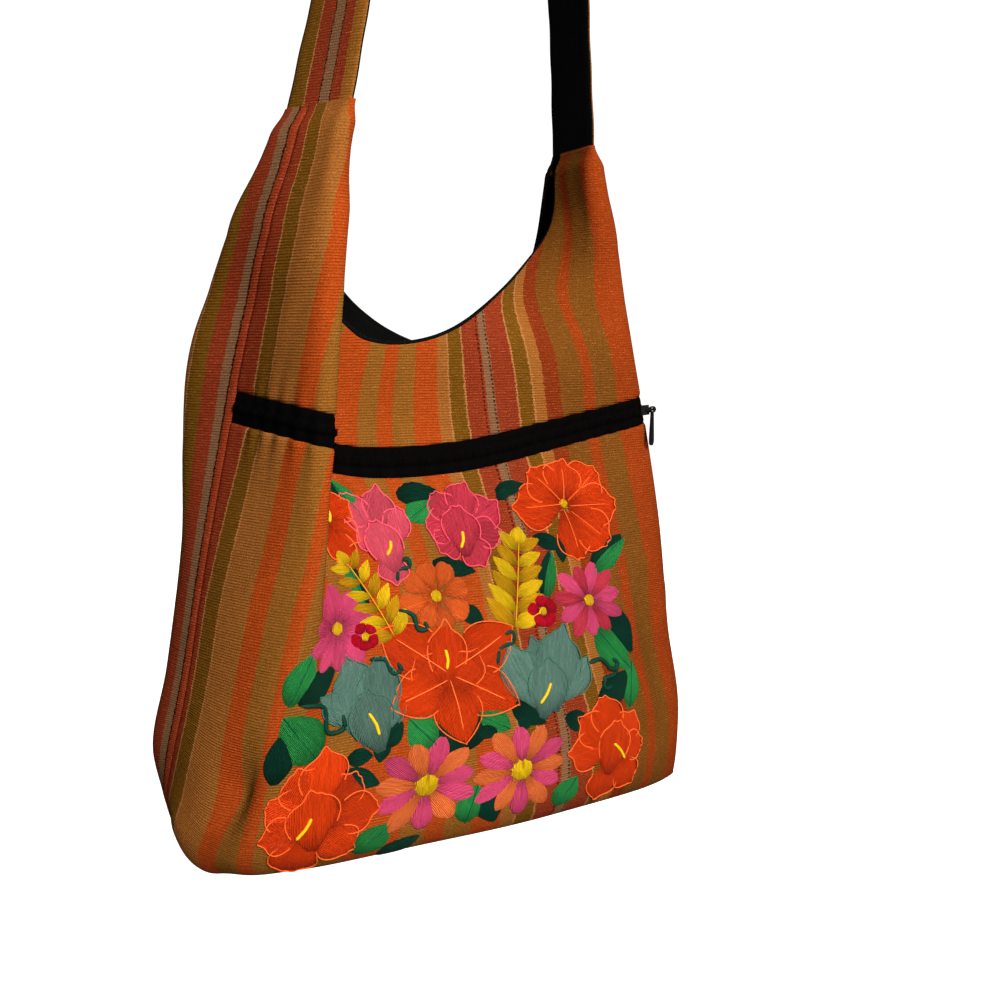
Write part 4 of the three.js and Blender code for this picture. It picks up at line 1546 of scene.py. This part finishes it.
FLOWERS: tuple[Daisy | Bloom | Ear | Sprig, ...] = (
    Sprig(
        leaves=(
            (211, 270, 246, 272, 13, 0), (241, 268, 212, 252, 15, 1), (289, 270, 316, 274, 8, 0),
            (289, 264, 305, 275, 7, 0), (182, 256, 166, 284, 13, 2), (160, 244, 162, 230, 7, 0),
            (154, 234, 166, 186, 10, 2), (237, 188, 254, 176, 10, 0), (221, 222, 256, 213, 10, 0),
            (309, 186, 324, 222, 15, 2), (310, 234, 338, 223, 9, 0), (335, 232, 333, 211, 8, 0),
            (358, 202, 396, 225, 20, 2), (351, 158, 377, 119, 20, 1), (370, 172, 383, 131, 16, 0),
            (334, 96, 383, 118, 15, 0), (366, 88, 380, 126, 13, 1), (103, 138, 113, 174, 16, 1),
            (108, 140, 139, 157, 16, 0), (133, 96, 101, 132, 22, 1), (106, 82, 104, 121, 15, 0),
            (174, 96, 188, 113, 11, 0), (176, 102, 174, 86, 8, 0), (211, 92, 192, 114, 16, 1),
            (229, 83, 213, 114, 15, 0), (228, 84, 242, 115, 15, 0), (237, 112, 262, 95, 17, 1),
            (265, 114, 289, 93, 13, 0), (277, 108, 270, 90, 9, 0), (305, 96, 326, 81, 12, 0),
            (149, 84, 176, 71, 10, 0), (152, 93, 170, 92, 9, 0), (233, 27, 239, 57, 14, 1),
            (243, 54, 253, 21, 13, 0), (165, 19, 188, 41, 15, 1), (176, 8, 206, 25, 11, 0),
            (296, 22, 312, 45, 15, 1), (258, 102, 233, 94, 11, 0),
        ),
        tendrils=(
            (191, 210, 206, 222), (188, 190, 204, 172), (337, 132, 362, 120), (112, 138, 141, 108),
            (164, 158, 184, 144), (259, 144, 279, 162), (365, 130, 343, 114),
        ),
    ),
    Ear((183, 172), (151, 236), 6, 24.0),
    Ear((279, 170), (300, 243), 6, 31.0),
    Bloom(
        (
            (152, 258, 134, 268, 22), (152, 260, 150, 290, 25), (152, 258, 174, 268, 22),
            (152, 256, 171, 240, 24), (152, 254, 158, 224, 22),
        ),
        Thread.RED, Thread.PALE, stamen=((154, 254), (156, 264)),
    ),
    Bloom(
        (
            (186, 236, 172, 274, 24), (190, 240, 199, 278, 24), (193, 234, 211, 262, 20),
            (188, 234, 172, 248, 22), (190, 232, 190, 208, 24),
        ),
        Thread.CORAL, Thread.CORAL, stamen=((188, 229), (194, 239)), cup=(193, 214, 186, 254, 29),
    ),
    Bloom(
        (
            (250, 244, 226, 250, 26), (250, 246, 240, 272, 25), (252, 248, 266, 278, 25),
            (254, 246, 288, 262, 27), (254, 242, 284, 240, 24), (252, 240, 264, 217, 26),
            (248, 240, 230, 230, 24),
        ),
        Thread.ROSE, Thread.CORAL, stamen=((247, 231), (252, 243)), cup=(250, 222, 254, 262, 30),
    ),
    Bloom(
        (
            (346, 256, 300, 256, 36), (344, 258, 322, 284, 32), (346, 258, 354, 290, 34),
            (350, 258, 384, 280, 36), (350, 254, 395, 252, 34), (350, 250, 380, 222, 36),
            (344, 252, 350, 212, 32),
        ),
        Thread.RED, Thread.PALE, eye=(346, 256), veins=Thread.ORANGE,
    ),
    Daisy((219, 198), (31, 27), 8, (Thread.ORANGE,), 4.6, 12.0, Form.NOTCHED, 1.3),
    Daisy((350, 180), (34, 30), 11, (Thread.PINK, Thread.ROSE), 4.8, 5.0),
    Daisy((140, 182), (30, 31), 10, (Thread.PINK,), 4.8, 20.0),
    Daisy((305, 178), (14, 13), 5, (Thread.CRIMSON,), 3.6, 18.0, Form.ROUND, 1.5, 1.0),
    Daisy((161, 174), (11, 10.5), 5, (Thread.CRIMSON,), 3.2, 50.0, Form.ROUND, 1.5, 1.0),
    Bloom(
        (
            (220, 144, 173, 178, 38), (220, 138, 180, 123, 36), (222, 138, 230, 90, 34),
            (226, 140, 270, 112, 37), (226, 146, 276, 170, 38),
        ),
        Thread.RED, Thread.PALE, Form.POINTED, veins=Thread.PALE,
    ),
    Bloom(
        (
            (221, 128, 198, 158, 27), (222, 128, 245, 157, 27), (221, 126, 222, 180, 30),
        ),
        Thread.RED, Thread.PALE, stamen=((220, 146), (220, 160)),
    ),
    Bloom(
        (
            (160, 112, 127, 140, 18), (166, 98, 146, 162, 36), (168, 98, 172, 160, 32),
            (170, 100, 185, 138, 22),
        ),
        Thread.SAGE, Thread.FOREST, Form.ROUND, stamen=((172, 106), (164, 122)), cup=(175, 92, 160, 138, 31),
    ),
    Bloom(
        (
            (298, 106, 337, 136, 27), (290, 100, 270, 158, 34), (296, 100, 320, 165, 40),
            (292, 100, 292, 160, 32),
        ),
        Thread.SAGE, Thread.FOREST, Form.ROUND, stamen=((286, 110), (298, 124)), cup=(286, 96, 303, 142, 33),
    ),
    Bloom(
        (
            (137, 56, 104, 70, 30), (138, 60, 118, 92, 32), (140, 60, 136, 104, 32),
            (142, 58, 161, 82, 28), (144, 52, 177, 56, 30), (142, 46, 164, 26, 28),
            (136, 46, 122, 14, 32), (134, 50, 104, 44, 28),
        ),
        Thread.RED, Thread.PALE, stamen=((128, 43), (135, 57)), cup=(141, 30, 132, 76, 34),
    ),
    Daisy((205.5, 64), (33, 36), 11, (Thread.PINK, Thread.SALMON), 8.2, 8.0),
    Daisy((268.5, 61), (34, 37), 12, (Thread.SALMON, Thread.PINK), 8.4, 0.0),
    Bloom(
        (
            (342, 58, 304, 66, 32), (342, 62, 316, 92, 30), (344, 64, 340, 104, 32),
            (348, 62, 370, 84, 28), (350, 56, 376, 58, 26), (348, 50, 366, 24, 28),
            (342, 50, 330, 18, 30),
        ),
        Thread.RED, Thread.PALE, stamen=((355, 49), (344, 64)), cup=(338, 36, 350, 82, 32),
    ),
)


def settle(piece: Piece, node: str | None = None) -> None:
    """Fixes a piece to the bag.

    Args:
        piece: The piece.
        node: CAD node that it stands for, if any.
    """
    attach(piece, BODY)
    if node:
        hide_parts(node)


@dataclass(frozen=True)
class Cut:
    """A cloth piece as it was cut: width, length and flat area in metres."""

    width: float
    length: float
    area: float

    def declare(self, piece: Piece, carried_by: Sequence[str] = (), sewn_on: Sequence[Piece] = ()) -> None:
        """Gathers the cut's flat size, the pieces that a piece hangs from and those sewn onto it, and keeps
        none of them.

        Args:
            piece: The cloth; not used.
            carried_by: Names of the pieces that it hangs from.
            sewn_on: Separate pieces sewn onto it.
        """
        flat, holders, sewn = (self.width, self.length), list(carried_by), list(sewn_on)
        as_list(holders)
        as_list(sewn)


@dataclass
class Embroidery:
    """Satin-stitch flowers raised on the front pocket."""

    shape: ClothShape
    along_steps: int = 17
    across_steps: int = 11
    cord_steps: int = 26
    cord_sides: int = 6
    cord_end: float = 0.25
    # Outlines: radius, rise over their petal, share of their own thread's colour
    outline: float = 0.52
    outline_rise: float = 0.6
    outline_share: float = 0.6
    zip_clearance: float = 3.0
    bottom_clearance: float = 1.0
    # Petal's outline: crowding of its rows, least shares of its width, broad tips of round forms
    crowding: float = 0.9
    base_share: float = 0.1
    least_share: float = 0.01
    broad_tip: float = 0.16
    lobe: float = 0.03
    lobe_wave: float = 4.2
    rounding: float = 0.09
    notch: float = 0.12
    # Cushion: power of its section, share of its length where its ends stop falling, depth of its edge
    dome_power: float = 2.6
    dome_end: float = 0.03
    bite: float = 0.25
    # Thread tones spread from petal to petal; painted shade: darkest share at the base and where it ends,
    # darkening of the edges into the gaps between petals
    shade_spread: float = 0.1
    painted_base_shade: Place = (0.55, 0.5)
    painted_edge_shade: float = 0.4
    yarn_range: float = 500.0
    seed: int = 11
    draft: Draft = field(init=False)

    def __post_init__(self) -> None:
        """Starts its mesh and its seeded shades."""
        self.draft = Draft(("stitch", "along"), coloured=True)
        self.chance = np.random.default_rng(self.seed)

    def build(self) -> Piece:
        """Makes every flower and leaf as one raised piece on the cloth.

        Returns:
            The embroidery.
        """
        for flower in FLOWERS:
            for petal in flower.patches():
                self._petal(petal)
            for cord in flower.cords():
                self._cord(cord)
        piece = self.draft.build("embroidery", SatinThread().build())
        settle(piece)
        return piece

    def _onto(self, p: Array, z: Array, height: Array) -> Array:
        """Points at heights over the cloth, kept below the zip."""
        limit = self.shape.zip_height(p) - self.shape.zip_band / 2 - self.zip_clearance
        return self.shape.face(Side.FRONT, p, np.clip(z, self.bottom_clearance, limit), -height)

    def _plan(self, petal: Petal, s: Array, t: Array) -> tuple[Array, Array]:
        """Distances of a petal's points along it and aside.

        Args:
            petal: The petal.
            s: Shares of its length, one for each row.
            t: Shares of its half width, from -1 to 1.

        Returns:
            Distances along the petal and aside of its middle, rows by places across.
        """
        length = math.dist(petal.base, petal.tip)
        widest, blunt = petal.form.value
        bend = math.log(0.5) / math.log(widest)
        half = petal.width / 2 * np.sin(math.pi * s**bend) ** blunt
        broad = petal.form in (Form.ROUND, Form.NOTCHED)
        least = self.base_share * (1 - s) + self.least_share + (self.broad_tip if broad else 0.0) * s**4
        half = np.maximum(half, petal.width * least)
        lobes = self.lobe if petal.form is Form.ROUND else self.lobe / 2
        edge = lobes * np.sin(self.lobe_wave * t + petal.base[0])
        if broad:
            edge = edge - self.rounding * t**2
        along = s[:, None] * length * (1.0 + edge[None, :] * s[:, None] ** 3)
        if petal.form is Form.NOTCHED:
            along = along - self.notch * length * (s[:, None] ** 6) * (1 - np.abs(t)[None, :])
        return along, half[:, None] * t[None, :]

    def _petal(self, petal: Petal) -> None:
        """Adds one petal as a low cushion of stitches, with its outline.

        Args:
            petal: The petal.
        """
        s = np.linspace(0.0, 1.0, self.along_steps) ** self.crowding
        t = np.linspace(-1.0, 1.0, self.across_steps)
        along, aside = self._plan(petal, s, t)
        base = np.array(petal.base, float)
        way = unit(np.array(petal.tip, float) - base)
        p = base[0] + way[0] * along + way[1] * aside
        z = base[1] + way[1] * along - way[0] * aside
        ends = np.sqrt(np.sin(math.pi * np.clip(s, self.dome_end, 1.0 - self.dome_end)))
        dome = (1.0 - np.abs(t)[None, :] ** self.dome_power) * ends[:, None]
        inside = np.zeros(p.shape)
        inside[1:-1, 1:-1] = 1.0
        points = self._onto(p, z, (petal.layer + petal.height * dome) * inside - self.bite * (1.0 - inside))
        tone = np.array(petal.thread.value) * (1.0 + self.shade_spread * float(self.chance.standard_normal()))
        # Painted shade: each petal darker towards its base and at its edges, where the gaps between petals
        # fall in shadow
        dark, full = self.painted_base_shade
        deep = dark + (1.0 - dark) * smooth(0.0, full, s)
        shade = deep[:, None] * (1.0 - self.painted_edge_shade * np.abs(t)[None, :] ** 6)
        colours = np.ones((*p.shape, 4))
        colours[..., :3] = tone * shade[..., None]
        start = float(self.chance.uniform(0.0, self.yarn_range))
        faces = Draft.quads(self.along_steps, self.across_steps)[:, ::-1]
        numbers = {"stitch": aside + start, "along": along + start}
        self.draft.add(points.reshape(-1, 3), faces, colours.reshape(-1, 4), **numbers)
        if petal.outline:
            self._outline(petal, p, z)

    def _outline(self, petal: Petal, p: Array, z: Array) -> None:
        """Adds a cord round a petal's edge, from a third of its length on.

        Args:
            petal: The petal.
            p: Places across of the petal's points.
            z: Their heights.
        """
        first = self.along_steps // 3
        edge_p, edge_z = (
            np.concatenate([grid[first:, 0], grid[-1, 1:-1], grid[:first:-1, -1]]) for grid in (p, z)
        )
        path = self._onto(edge_p, edge_z, np.full(len(edge_p), petal.layer + self.outline_rise))
        own, thread = np.array(petal.outline.value), np.array(petal.thread.value)
        tone = tuple(self.outline_share * own + (1.0 - self.outline_share) * thread)
        self.draft.tube(path, self.outline * MM, self.cord_sides, tone, stitch=0.0, along=0.0)

    def _cord(self, cord: Cord) -> None:
        """Adds one couched cord, smooth through its places and thin at its ends.

        Args:
            cord: The cord.
        """
        places = np.array(cord.path, float)
        spots = np.linspace(0.0, 1.0, len(places))
        share = np.linspace(0.0, 1.0, self.cord_steps)
        p, z = (hermite(spots, places[:, k], share) for k in (0, 1))
        path = self._onto(p, z, np.full(self.cord_steps, cord.layer))
        radius = cord.radius * MM * np.clip(4.0 * np.sqrt(share * (1 - share)), self.cord_end, 1.0)
        self.draft.tube(path, radius, self.cord_sides, cord.thread.value, stitch=0.0, along=0.0)


@dataclass
class BagBody:
    """The three striped panels: pocket, yoke above the zip, and back."""

    shape: ClothShape
    thickness: float = 1.6
    fineness: float = 2.2
    turn_rows: int = 18
    row_pitch: float = 2.4
    # Dotted lines of the front and how far its left fold draws the stripes aside
    dotted: Place = (296.4, 304.8)
    drift: float = 12.0
    # Length of the bottom turn's cloth for its height
    turn_stretch: float = 1.35
    pocket_cut: Cut = Cut(0.46, 0.37, 0.1585)
    yoke_cut: Cut = Cut(0.46, 0.235, 0.0569)
    back_cut: Cut = Cut(0.51, 0.58, 0.2469)

    def declare(self, panels: Sequence[Piece], sewn_on: Sequence[Piece]) -> None:
        """Hands the panels, what each hangs from and what is sewn onto the pocket to their cuts, which keep
        none of it.

        Args:
            panels: Pocket, yoke and back.
            sewn_on: Pieces sewn onto the pocket.
        """
        pocket, yoke, rear = panels
        self.pocket_cut.declare(pocket, (yoke.name, rear.name), sewn_on)
        self.yoke_cut.declare(yoke, ("strap_outer_cloth",))
        self.back_cut.declare(rear, ("strap_outer_cloth",))

    def build(self) -> list[Piece]:
        """Makes the panels.

        Returns:
            Pocket, yoke and back.
        """
        shape = self.shape
        front = StripedCotton("front_cotton", PANEL_STRIPES, STRIPES_START, self.dotted, self.drift).build()
        back = StripedCotton("back_cotton", BACK_STRIPES, STRIPES_START).build()
        half = shape.zip_band / 2
        places = shape.columns(Side.FRONT, self.fineness)
        middle = shape.zip_height(places)
        mouth = shape.scoop_height(Side.FRONT, places)
        pocket = self._panel("pocket_panel", Side.FRONT, places, np.zeros_like(places), middle - half, front)
        yoke = self._panel("front_yoke", Side.FRONT, places, middle + half, mouth, front)
        behind = shape.columns(Side.BACK, self.fineness)
        top = shape.scoop_height(Side.BACK, behind)
        rear = self._panel("back_panel", Side.BACK, behind, np.zeros_like(behind), top, back)
        return [pocket, yoke, rear]

    def _panel(
        self, node: str, side: Side, p: Array, low: Array, high: Array, finish: bpy.types.Material
    ) -> Piece:
        """Makes one panel as a sheet of cloth.

        Args:
            node: CAD node that it stands for.
            side: Front or back.
            p: Places of its columns.
            low: Height of its lower edge at each column.
            high: Height of its upper edge.
            finish: Its material.

        Returns:
            The panel.
        """
        rows = int((high - low).max() / self.row_pitch)
        share = np.linspace(0.0, 1.0, rows)
        turn = self.shape.bottom_turn
        if low.max() == 0.0:
            angles = np.linspace(0.0, math.pi / 2, self.turn_rows, endpoint=False)
            lower = np.tile(turn * (1 - np.cos(angles)), (len(p), 1))
            z = np.concatenate([lower, turn + (high - turn)[:, None] * share], 1)
        else:
            z = low[:, None] + (high - low)[:, None] * share
        across = np.repeat(p[:, None], z.shape[1], 1)
        outer = self.shape.face(side, across, z, 0.0)
        inner = self.shape.face(side, across, z, self.thickness)
        up = np.where(z < turn, turn - self.turn_stretch * (turn - z), z)
        if side is Side.BACK:
            outer, inner, across, up = outer[::-1], inner[::-1], across[::-1], up[::-1]
        draft = Draft(("across", "up"))
        draft.sheet(outer, inner, across=across, up=up)
        piece = draft.build(f"{node}_cloth", finish)
        settle(piece, node)
        return piece


@dataclass
class Lining:
    """Black lining inside the panels, with the rolled binding that shows along the mouth."""

    shape: ClothShape
    depth: float = 2.6
    thickness: float = 1.0
    bottom_lift: float = 6.0
    fineness: float = 4.0
    rows: int = 90
    row_crowding: float = 1.15
    horn_space: float = 14.0
    # Binding: radius, sides, fineness, rise over the edge, depth in the cloth, space under the horns' tops
    binding: float = 1.75
    binding_sides: int = 10
    binding_fineness: float = 1.5
    binding_rise: float = 0.9
    binding_depth: float = 1.5
    binding_space: float = 1.0
    cut: Cut = Cut(0.92, 0.56, 0.4174)

    def build(self, finish: bpy.types.Material) -> Piece:
        """Makes the lining and its binding as one piece.

        Args:
            finish: Its material.

        Returns:
            The lining.
        """
        draft = Draft(("across", "up"))
        for side in Side:
            p = self.shape.columns(side, self.fineness)
            top = np.minimum(self.shape.scoop_height(side, p), self.shape.horn_top - self.horn_space)
            share = np.linspace(0.0, 1.0, self.rows) ** self.row_crowding
            z = self.bottom_lift + (top - self.bottom_lift)[:, None] * share
            across = np.repeat(p[:, None], self.rows, 1)
            faces = [self.shape.face(side, across, z, self.depth + extra) for extra in (0.0, self.thickness)]
            if side is Side.BACK:
                faces, across, z = [face[::-1] for face in faces], across[::-1], z[::-1]
            draft.sheet(faces[0], faces[1], across=across, up=z)
            self._bind(draft, side)
        piece = draft.build("lining_cloth", finish)
        settle(piece, "lining")
        self.cut.declare(piece, ("front_yoke_cloth", "back_panel_cloth"))
        return piece

    def _bind(self, draft: Draft, side: Side) -> None:
        """Adds the binding along one panel's mouth edge.

        Args:
            draft: Mesh that it is added to.
            side: Panel whose mouth edge is bound.
        """
        shape = self.shape
        p = shape.columns(side, self.binding_fineness)
        half = shape.panel_width / 2
        p = p[np.abs(p - half) <= half - shape.scoop_edge + TOUCH]
        z = np.minimum(shape.scoop_height(side, p) + self.binding_rise, shape.horn_top - self.binding_space)
        path = shape.face(side, p, z, self.binding_depth)
        draft.tube(path, self.binding * MM, self.binding_sides, across=0.0, up=0.0)


@dataclass
class ZipBand:
    """The closed zip: two tapes and the coil between them."""

    shape: ClothShape
    sink: float = 0.7
    coil_half: float = 2.6
    coil_height: float = 0.7
    tape_rows: int = 21
    fineness: float = 2.0
    overlap: float = 1.0
    back_depth: float = 2.3
    # Coil: pitch, first and last place from the seams, radius, reach from the middle, height, points, sides
    pitch: float = 1.5
    coil_margin: float = 2.0
    tooth: tuple[float, float, float] = (0.42, 2.0, 0.4)
    tooth_steps: int = 7
    tooth_sides: int = 6
    # Teeth lie aside of the middle in turn, slant, end a little over their reach and sink into the coil
    tooth_shift: float = 0.5
    tooth_slant: float = 0.25
    tooth_over: float = 1.02
    tooth_sink: float = 0.3

    def build(self) -> Piece:
        """Makes the tapes and teeth as one piece.

        Returns:
            The zip.
        """
        shape = self.shape
        p = shape.columns(Side.FRONT, self.fineness)
        half = shape.zip_band / 2 + self.overlap
        offset = np.linspace(-half, half, self.tape_rows)
        across = np.repeat(p[:, None], len(offset), 1)
        z = shape.zip_height(across) + offset[None, :]
        swell = np.exp(-((offset / self.coil_half) ** 4)) * (self.coil_height + self.sink)
        depth = self.sink - swell[None, :]
        outer = shape.face(Side.FRONT, across, z, depth)
        inner = shape.face(Side.FRONT, across, z, self.back_depth)
        draft = Draft(("across", "up"))
        draft.sheet(outer, inner, across=across, up=np.broadcast_to(offset, across.shape))
        places = np.arange(self.coil_margin, shape.panel_width - self.coil_margin, self.pitch)
        for k, place in enumerate(places):
            self._tooth(draft, float(place), self.tooth_shift if k % 2 else -self.tooth_shift)
        piece = draft.build("zip_band", ZipCloth().build())
        settle(piece, "zip_tape")
        return piece

    def _tooth(self, draft: Draft, place: float, shift: float) -> None:
        """Adds one turn of the coil across the zip's middle.

        Args:
            draft: Mesh that it is added to.
            place: Place across the front.
            shift: How far it lies aside of the zip's middle.
        """
        radius, reach, height = self.tooth
        from_middle = np.linspace(-reach, reach, self.tooth_steps)
        span = from_middle + shift
        p = place + self.tooth_slant * span
        z = self.shape.zip_height(p) + span
        arch = np.sqrt(1.0 - (from_middle / (reach * self.tooth_over)) ** 2)
        lift = self.coil_height + height * arch - self.tooth_sink
        path = self.shape.face(Side.FRONT, p, z, -lift)
        draft.tube(path, radius * MM, self.tooth_sides, across=place, up=shift)


@dataclass
class Strap:
    """Flat shoulder strap: striped outside, black inside, twisted a little over its arch."""

    shape: ClothShape
    width: float = 57.0
    layer: float = 1.7
    gap: float = 0.3
    tuck: float = 14.0
    lean_left: float = 15.0
    lean_right: float = 4.0
    arch_radius: float = 82.0
    steps: int = 70
    across_steps: int = 25
    # Sewn edges: power of the rounding, its share of the layer, depth, place and width of the sewn line
    edge_power: float = 14.0
    edge_share: float = 0.5
    sewn_line: tuple[float, float, float] = (0.35, 0.9, 0.045)
    # Waves of the cloth, over its whole width and along its edges: height and length
    wave: Place = (0.5, 27.0)
    edge_wave: Place = (0.25, 6.5)
    cut: Cut = Cut(0.0575, 0.75, 0.0428)

    def build(self, lining: bpy.types.Material) -> list[Piece]:
        """Makes the two layers.

        Args:
            lining: Material of the inside.

        Returns:
            The outside and the inside.
        """
        outside = StripedCotton("strap_cotton", STRAP_STRIPES).build()
        low, high = self.gap / 2, self.gap / 2 + self.layer
        outer = self._layer("strap_outer", low, high, outside)
        inner = self._layer("strap_lining", -high, -low, lining)
        return [outer, inner]

    def _line(self) -> tuple[Array, Array, Array]:
        """Middle line of the strap with its width and outward directions at every station.

        Returns:
            Points of the line and the two directions at each of them.
        """
        left, right = (np.array(rows[-1], float) for rows in (self.shape.left_horn, self.shape.right_horn))
        start, end = left[1:3], right[1:3]
        span = float(np.linalg.norm(end - start))
        way = (end - start) / span
        a, b, r = math.radians(self.lean_left), math.radians(self.lean_right), self.arch_radius
        room = span * math.cos(b) - r - r * math.cos(b) / math.cos(a)
        rise = room / (math.sin(b) + math.tan(a) * math.cos(b))
        run = (r + rise * math.sin(a)) / math.cos(a)
        first = run * math.sin(a) + rise * math.cos(a)
        last = (span - run) * math.sin(b) + rise * math.cos(b)
        up = np.linspace(-self.tuck, first, self.steps, endpoint=False)
        over = np.linspace(math.pi - a, b, self.steps, endpoint=False)
        down = np.linspace(last, -self.tuck, self.steps)
        e = np.concatenate([up * math.sin(a), run + r * np.cos(over), span - down * math.sin(b)])
        h = np.concatenate([up * math.cos(a), rise + r * np.sin(over), down * math.cos(b)])
        middle = np.concatenate([start + e[:, None] * way, (self.shape.horn_top + h)[:, None]], 1)
        share = smooth(self.tuck, self.tuck + first, distances(middle))
        turn = np.radians(left[3] + (right[3] - left[3]) * share)
        along = unit(np.gradient(middle, axis=0))
        across = np.stack([np.sin(turn), -np.cos(turn), 0 * turn], 1)
        across = unit(across - along * np.sum(across * along, axis=1, keepdims=True))
        return middle, across, np.cross(across, along)

    def _layer(
        self, node: str, low: float, high: float, finish: bpy.types.Material
    ) -> Piece:
        """Makes one layer between two distances from the middle line.

        Args:
            node: CAD node that it stands for.
            low: Distance of its inner face.
            high: Distance of its outer face.
            finish: Its material.

        Returns:
            The layer.
        """
        middle, across, outward = self._line()
        t = np.linspace(-1.0, 1.0, self.across_steps)
        length = distances(middle)
        depth, sewn_at, sewn_width = self.sewn_line
        sewn = depth * bump(np.abs(t), sewn_at, sewn_width)
        thinner = self.edge_share * self.layer * np.abs(t) ** self.edge_power + sewn
        (high_wave, long), (high_edge, short) = self.wave, self.edge_wave
        wave = high_wave * np.sin(length / long)[:, None] * t[None, :]
        wave = wave + high_edge * np.sin(length / short)[:, None] * np.abs(t)[None, :] ** 3

        def grid(distance: float, thin: float) -> Array:
            """Points at a distance from the middle line, thinner at the edges by a share.

            Args:
                distance: Distance from the middle line.
                thin: Share of the thinning at the edges.

            Returns:
                Points in the part's frame, stations by places across.
            """
            step = (distance - thin * thinner)[None, :] + wave
            side = across[:, None] * (t * self.width / 2)[None, :, None]
            return (middle[:, None] + side + outward[:, None] * step[..., None] + CAD_SHIFT) * MM

        outside = high > 0
        faces = grid(high, 1.0 if outside else 0.0), grid(low, 0.0 if outside else -1.0)
        place = np.repeat(((t + 1) / 2 * self.width)[None, :], len(middle), 0)
        draft = Draft(("across", "up"))
        draft.sheet(faces[0], faces[1], across=place, up=np.repeat(length[:, None], len(t), 1))
        piece = draft.build(f"{node}_cloth", finish)
        settle(piece, node)
        self.cut.declare(piece)
        return piece


@dataclass
class ZipHead:
    """The slider and its pull, kept as the CAD made them with rounded edges and black lacquer."""

    edge: float = 0.28
    segments: int = 2

    def dress(self) -> list[Piece]:
        """Finishes the two CAD nodes.

        Returns:
            The slider and the pull.
        """
        finish = BlackLacquer().build()
        pieces = [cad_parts[name] for name in ("zip_slider", "zip_pull")]
        for piece in pieces:
            piece.data.materials.clear()
            piece.data.materials.append(finish)
            rounding = piece.modifiers.new("rounded_edges", "BEVEL")
            rounding.width = self.edge * MM
            rounding.segments = self.segments
            rounding.limit_method = "ANGLE"
        return pieces


@dataclass(frozen=True)
class Lamp:
    """A soft square light: its name, place, side and power in watts."""

    name: str
    place: Point
    size: float
    power: float


@dataclass
class Studio:
    """Pale floor that curves up all round, soft lights and the camera at the photograph's angle."""

    floor_height: float = -1.02
    centre: float = 0.00001
    radius: float = 3.6
    cove: float = 1.0
    cove_steps: int = 16
    wall: float = 6.0
    around_steps: int = 65
    lamps: tuple[Lamp, ...] = (
        Lamp("key", (0.0, -1.85, 0.35), 0.8, 52.0),
        Lamp("fill", (-2.2, -0.9, 0.1), 1.6, 2.5),
        Lamp("rim", (0.9, 2.0, 0.6), 1.2, 34.0),
    )
    air: float = 0.09
    lens: float = 34.56
    sensor: float = 36.0
    nearest: float = 0.01
    eye: Point = (-0.3203, -0.6833, -0.4451)
    azimuth: float = 26.0
    pitch: float = 10.0
    target: Point = (-0.04, 0.0, -0.6)

    def build(self) -> None:
        """Makes the floor, the lights and the camera."""
        self._floor()
        for lamp in self.lamps:
            self._light(lamp)
        world = bpy.data.worlds.new("studio_air")
        world.use_nodes = True
        air = world.node_tree.nodes["Background"].inputs
        air["Color"].default_value = (1.0, 1.0, 1.0, 1.0)
        air["Strength"].default_value = self.air
        bpy.context.scene.world = world
        self._camera()

    def _floor(self) -> None:
        """Makes the floor, which gives the bag no light and no shadow."""
        turns = np.linspace(0.0, math.pi / 2, self.cove_steps)
        outer = self.radius + self.cove
        reach = np.concatenate([[self.centre], self.radius + self.cove * np.sin(turns), [outer]])
        rise = np.concatenate([[0.0], self.cove * (1 - np.cos(turns)), [self.wall]])
        around = np.linspace(0.0, 2 * math.pi, self.around_steps)[:, None]
        spots = (reach * np.cos(around), reach * np.sin(around), self.floor_height + rise + 0 * around)
        draft = Draft(())
        draft.add(np.stack(spots, -1).reshape(-1, 3), Draft.quads(self.around_steps, len(reach))[:, ::-1])
        floor = draft.build("studio_floor", PaleFloor().build())
        floor.visible_diffuse = False
        floor.visible_glossy = False
        floor.visible_shadow = False
        floor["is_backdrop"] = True

    def _light(self, lamp: Lamp) -> None:
        """Adds a light that faces the bag.

        Args:
            lamp: The light.
        """
        data = bpy.data.lights.new(lamp.name, "AREA")
        data.energy = lamp.power
        data.size = lamp.size
        light = bpy.data.objects.new(lamp.name, data)
        light.location = lamp.place
        way = Vector(self.target) - Vector(lamp.place)
        light.rotation_euler = way.to_track_quat("-Z", "Y").to_euler()
        bpy.context.scene.collection.objects.link(light)

    def _camera(self) -> None:
        """Adds the camera."""
        lens = bpy.data.cameras.new("camera")
        lens.lens = self.lens
        lens.sensor_width = self.sensor
        lens.clip_start = self.nearest
        camera = bpy.data.objects.new("camera", lens)
        camera.location = self.eye
        a, b = math.radians(self.azimuth), math.radians(self.pitch)
        way = Vector((math.sin(a) * math.cos(b), math.cos(a) * math.cos(b), -math.sin(b)))
        camera.rotation_euler = way.to_track_quat("-Z", "Y").to_euler()
        bpy.context.scene.collection.objects.link(camera)
        bpy.context.scene.camera = camera
        bpy.context.scene.view_settings.view_transform = "Standard"


def corners(box: object) -> list[list[float]]:
    """Plain lists of a box's two corners."""
    return [[float(value) for value in corner] for corner in box]


def main() -> None:
    """Builds every piece in order, reports it and works out the two boxes, which it does not keep."""
    logging.basicConfig(level=logging.INFO, format="%(name)s: %(message)s")
    cad_box = corners(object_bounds())
    shape = ClothShape()
    black = BlackCotton().build()
    body = BagBody(shape)
    panels = body.build()
    sewn_on = [ZipBand(shape).build(), Embroidery(shape).build()]
    body.declare(panels, sewn_on)
    pieces = panels + sewn_on
    pieces.append(Lining(shape).build(black))
    pieces += Strap(shape).build(black)
    pieces += ZipHead().dress()
    for piece in pieces:
        LOG.info("%s: %d faces", piece.name, len(piece.data.polygons))
    Studio().build()
    {"cad": cad_box, "visual": corners(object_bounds())}


if __name__ == "__main__":
    main()
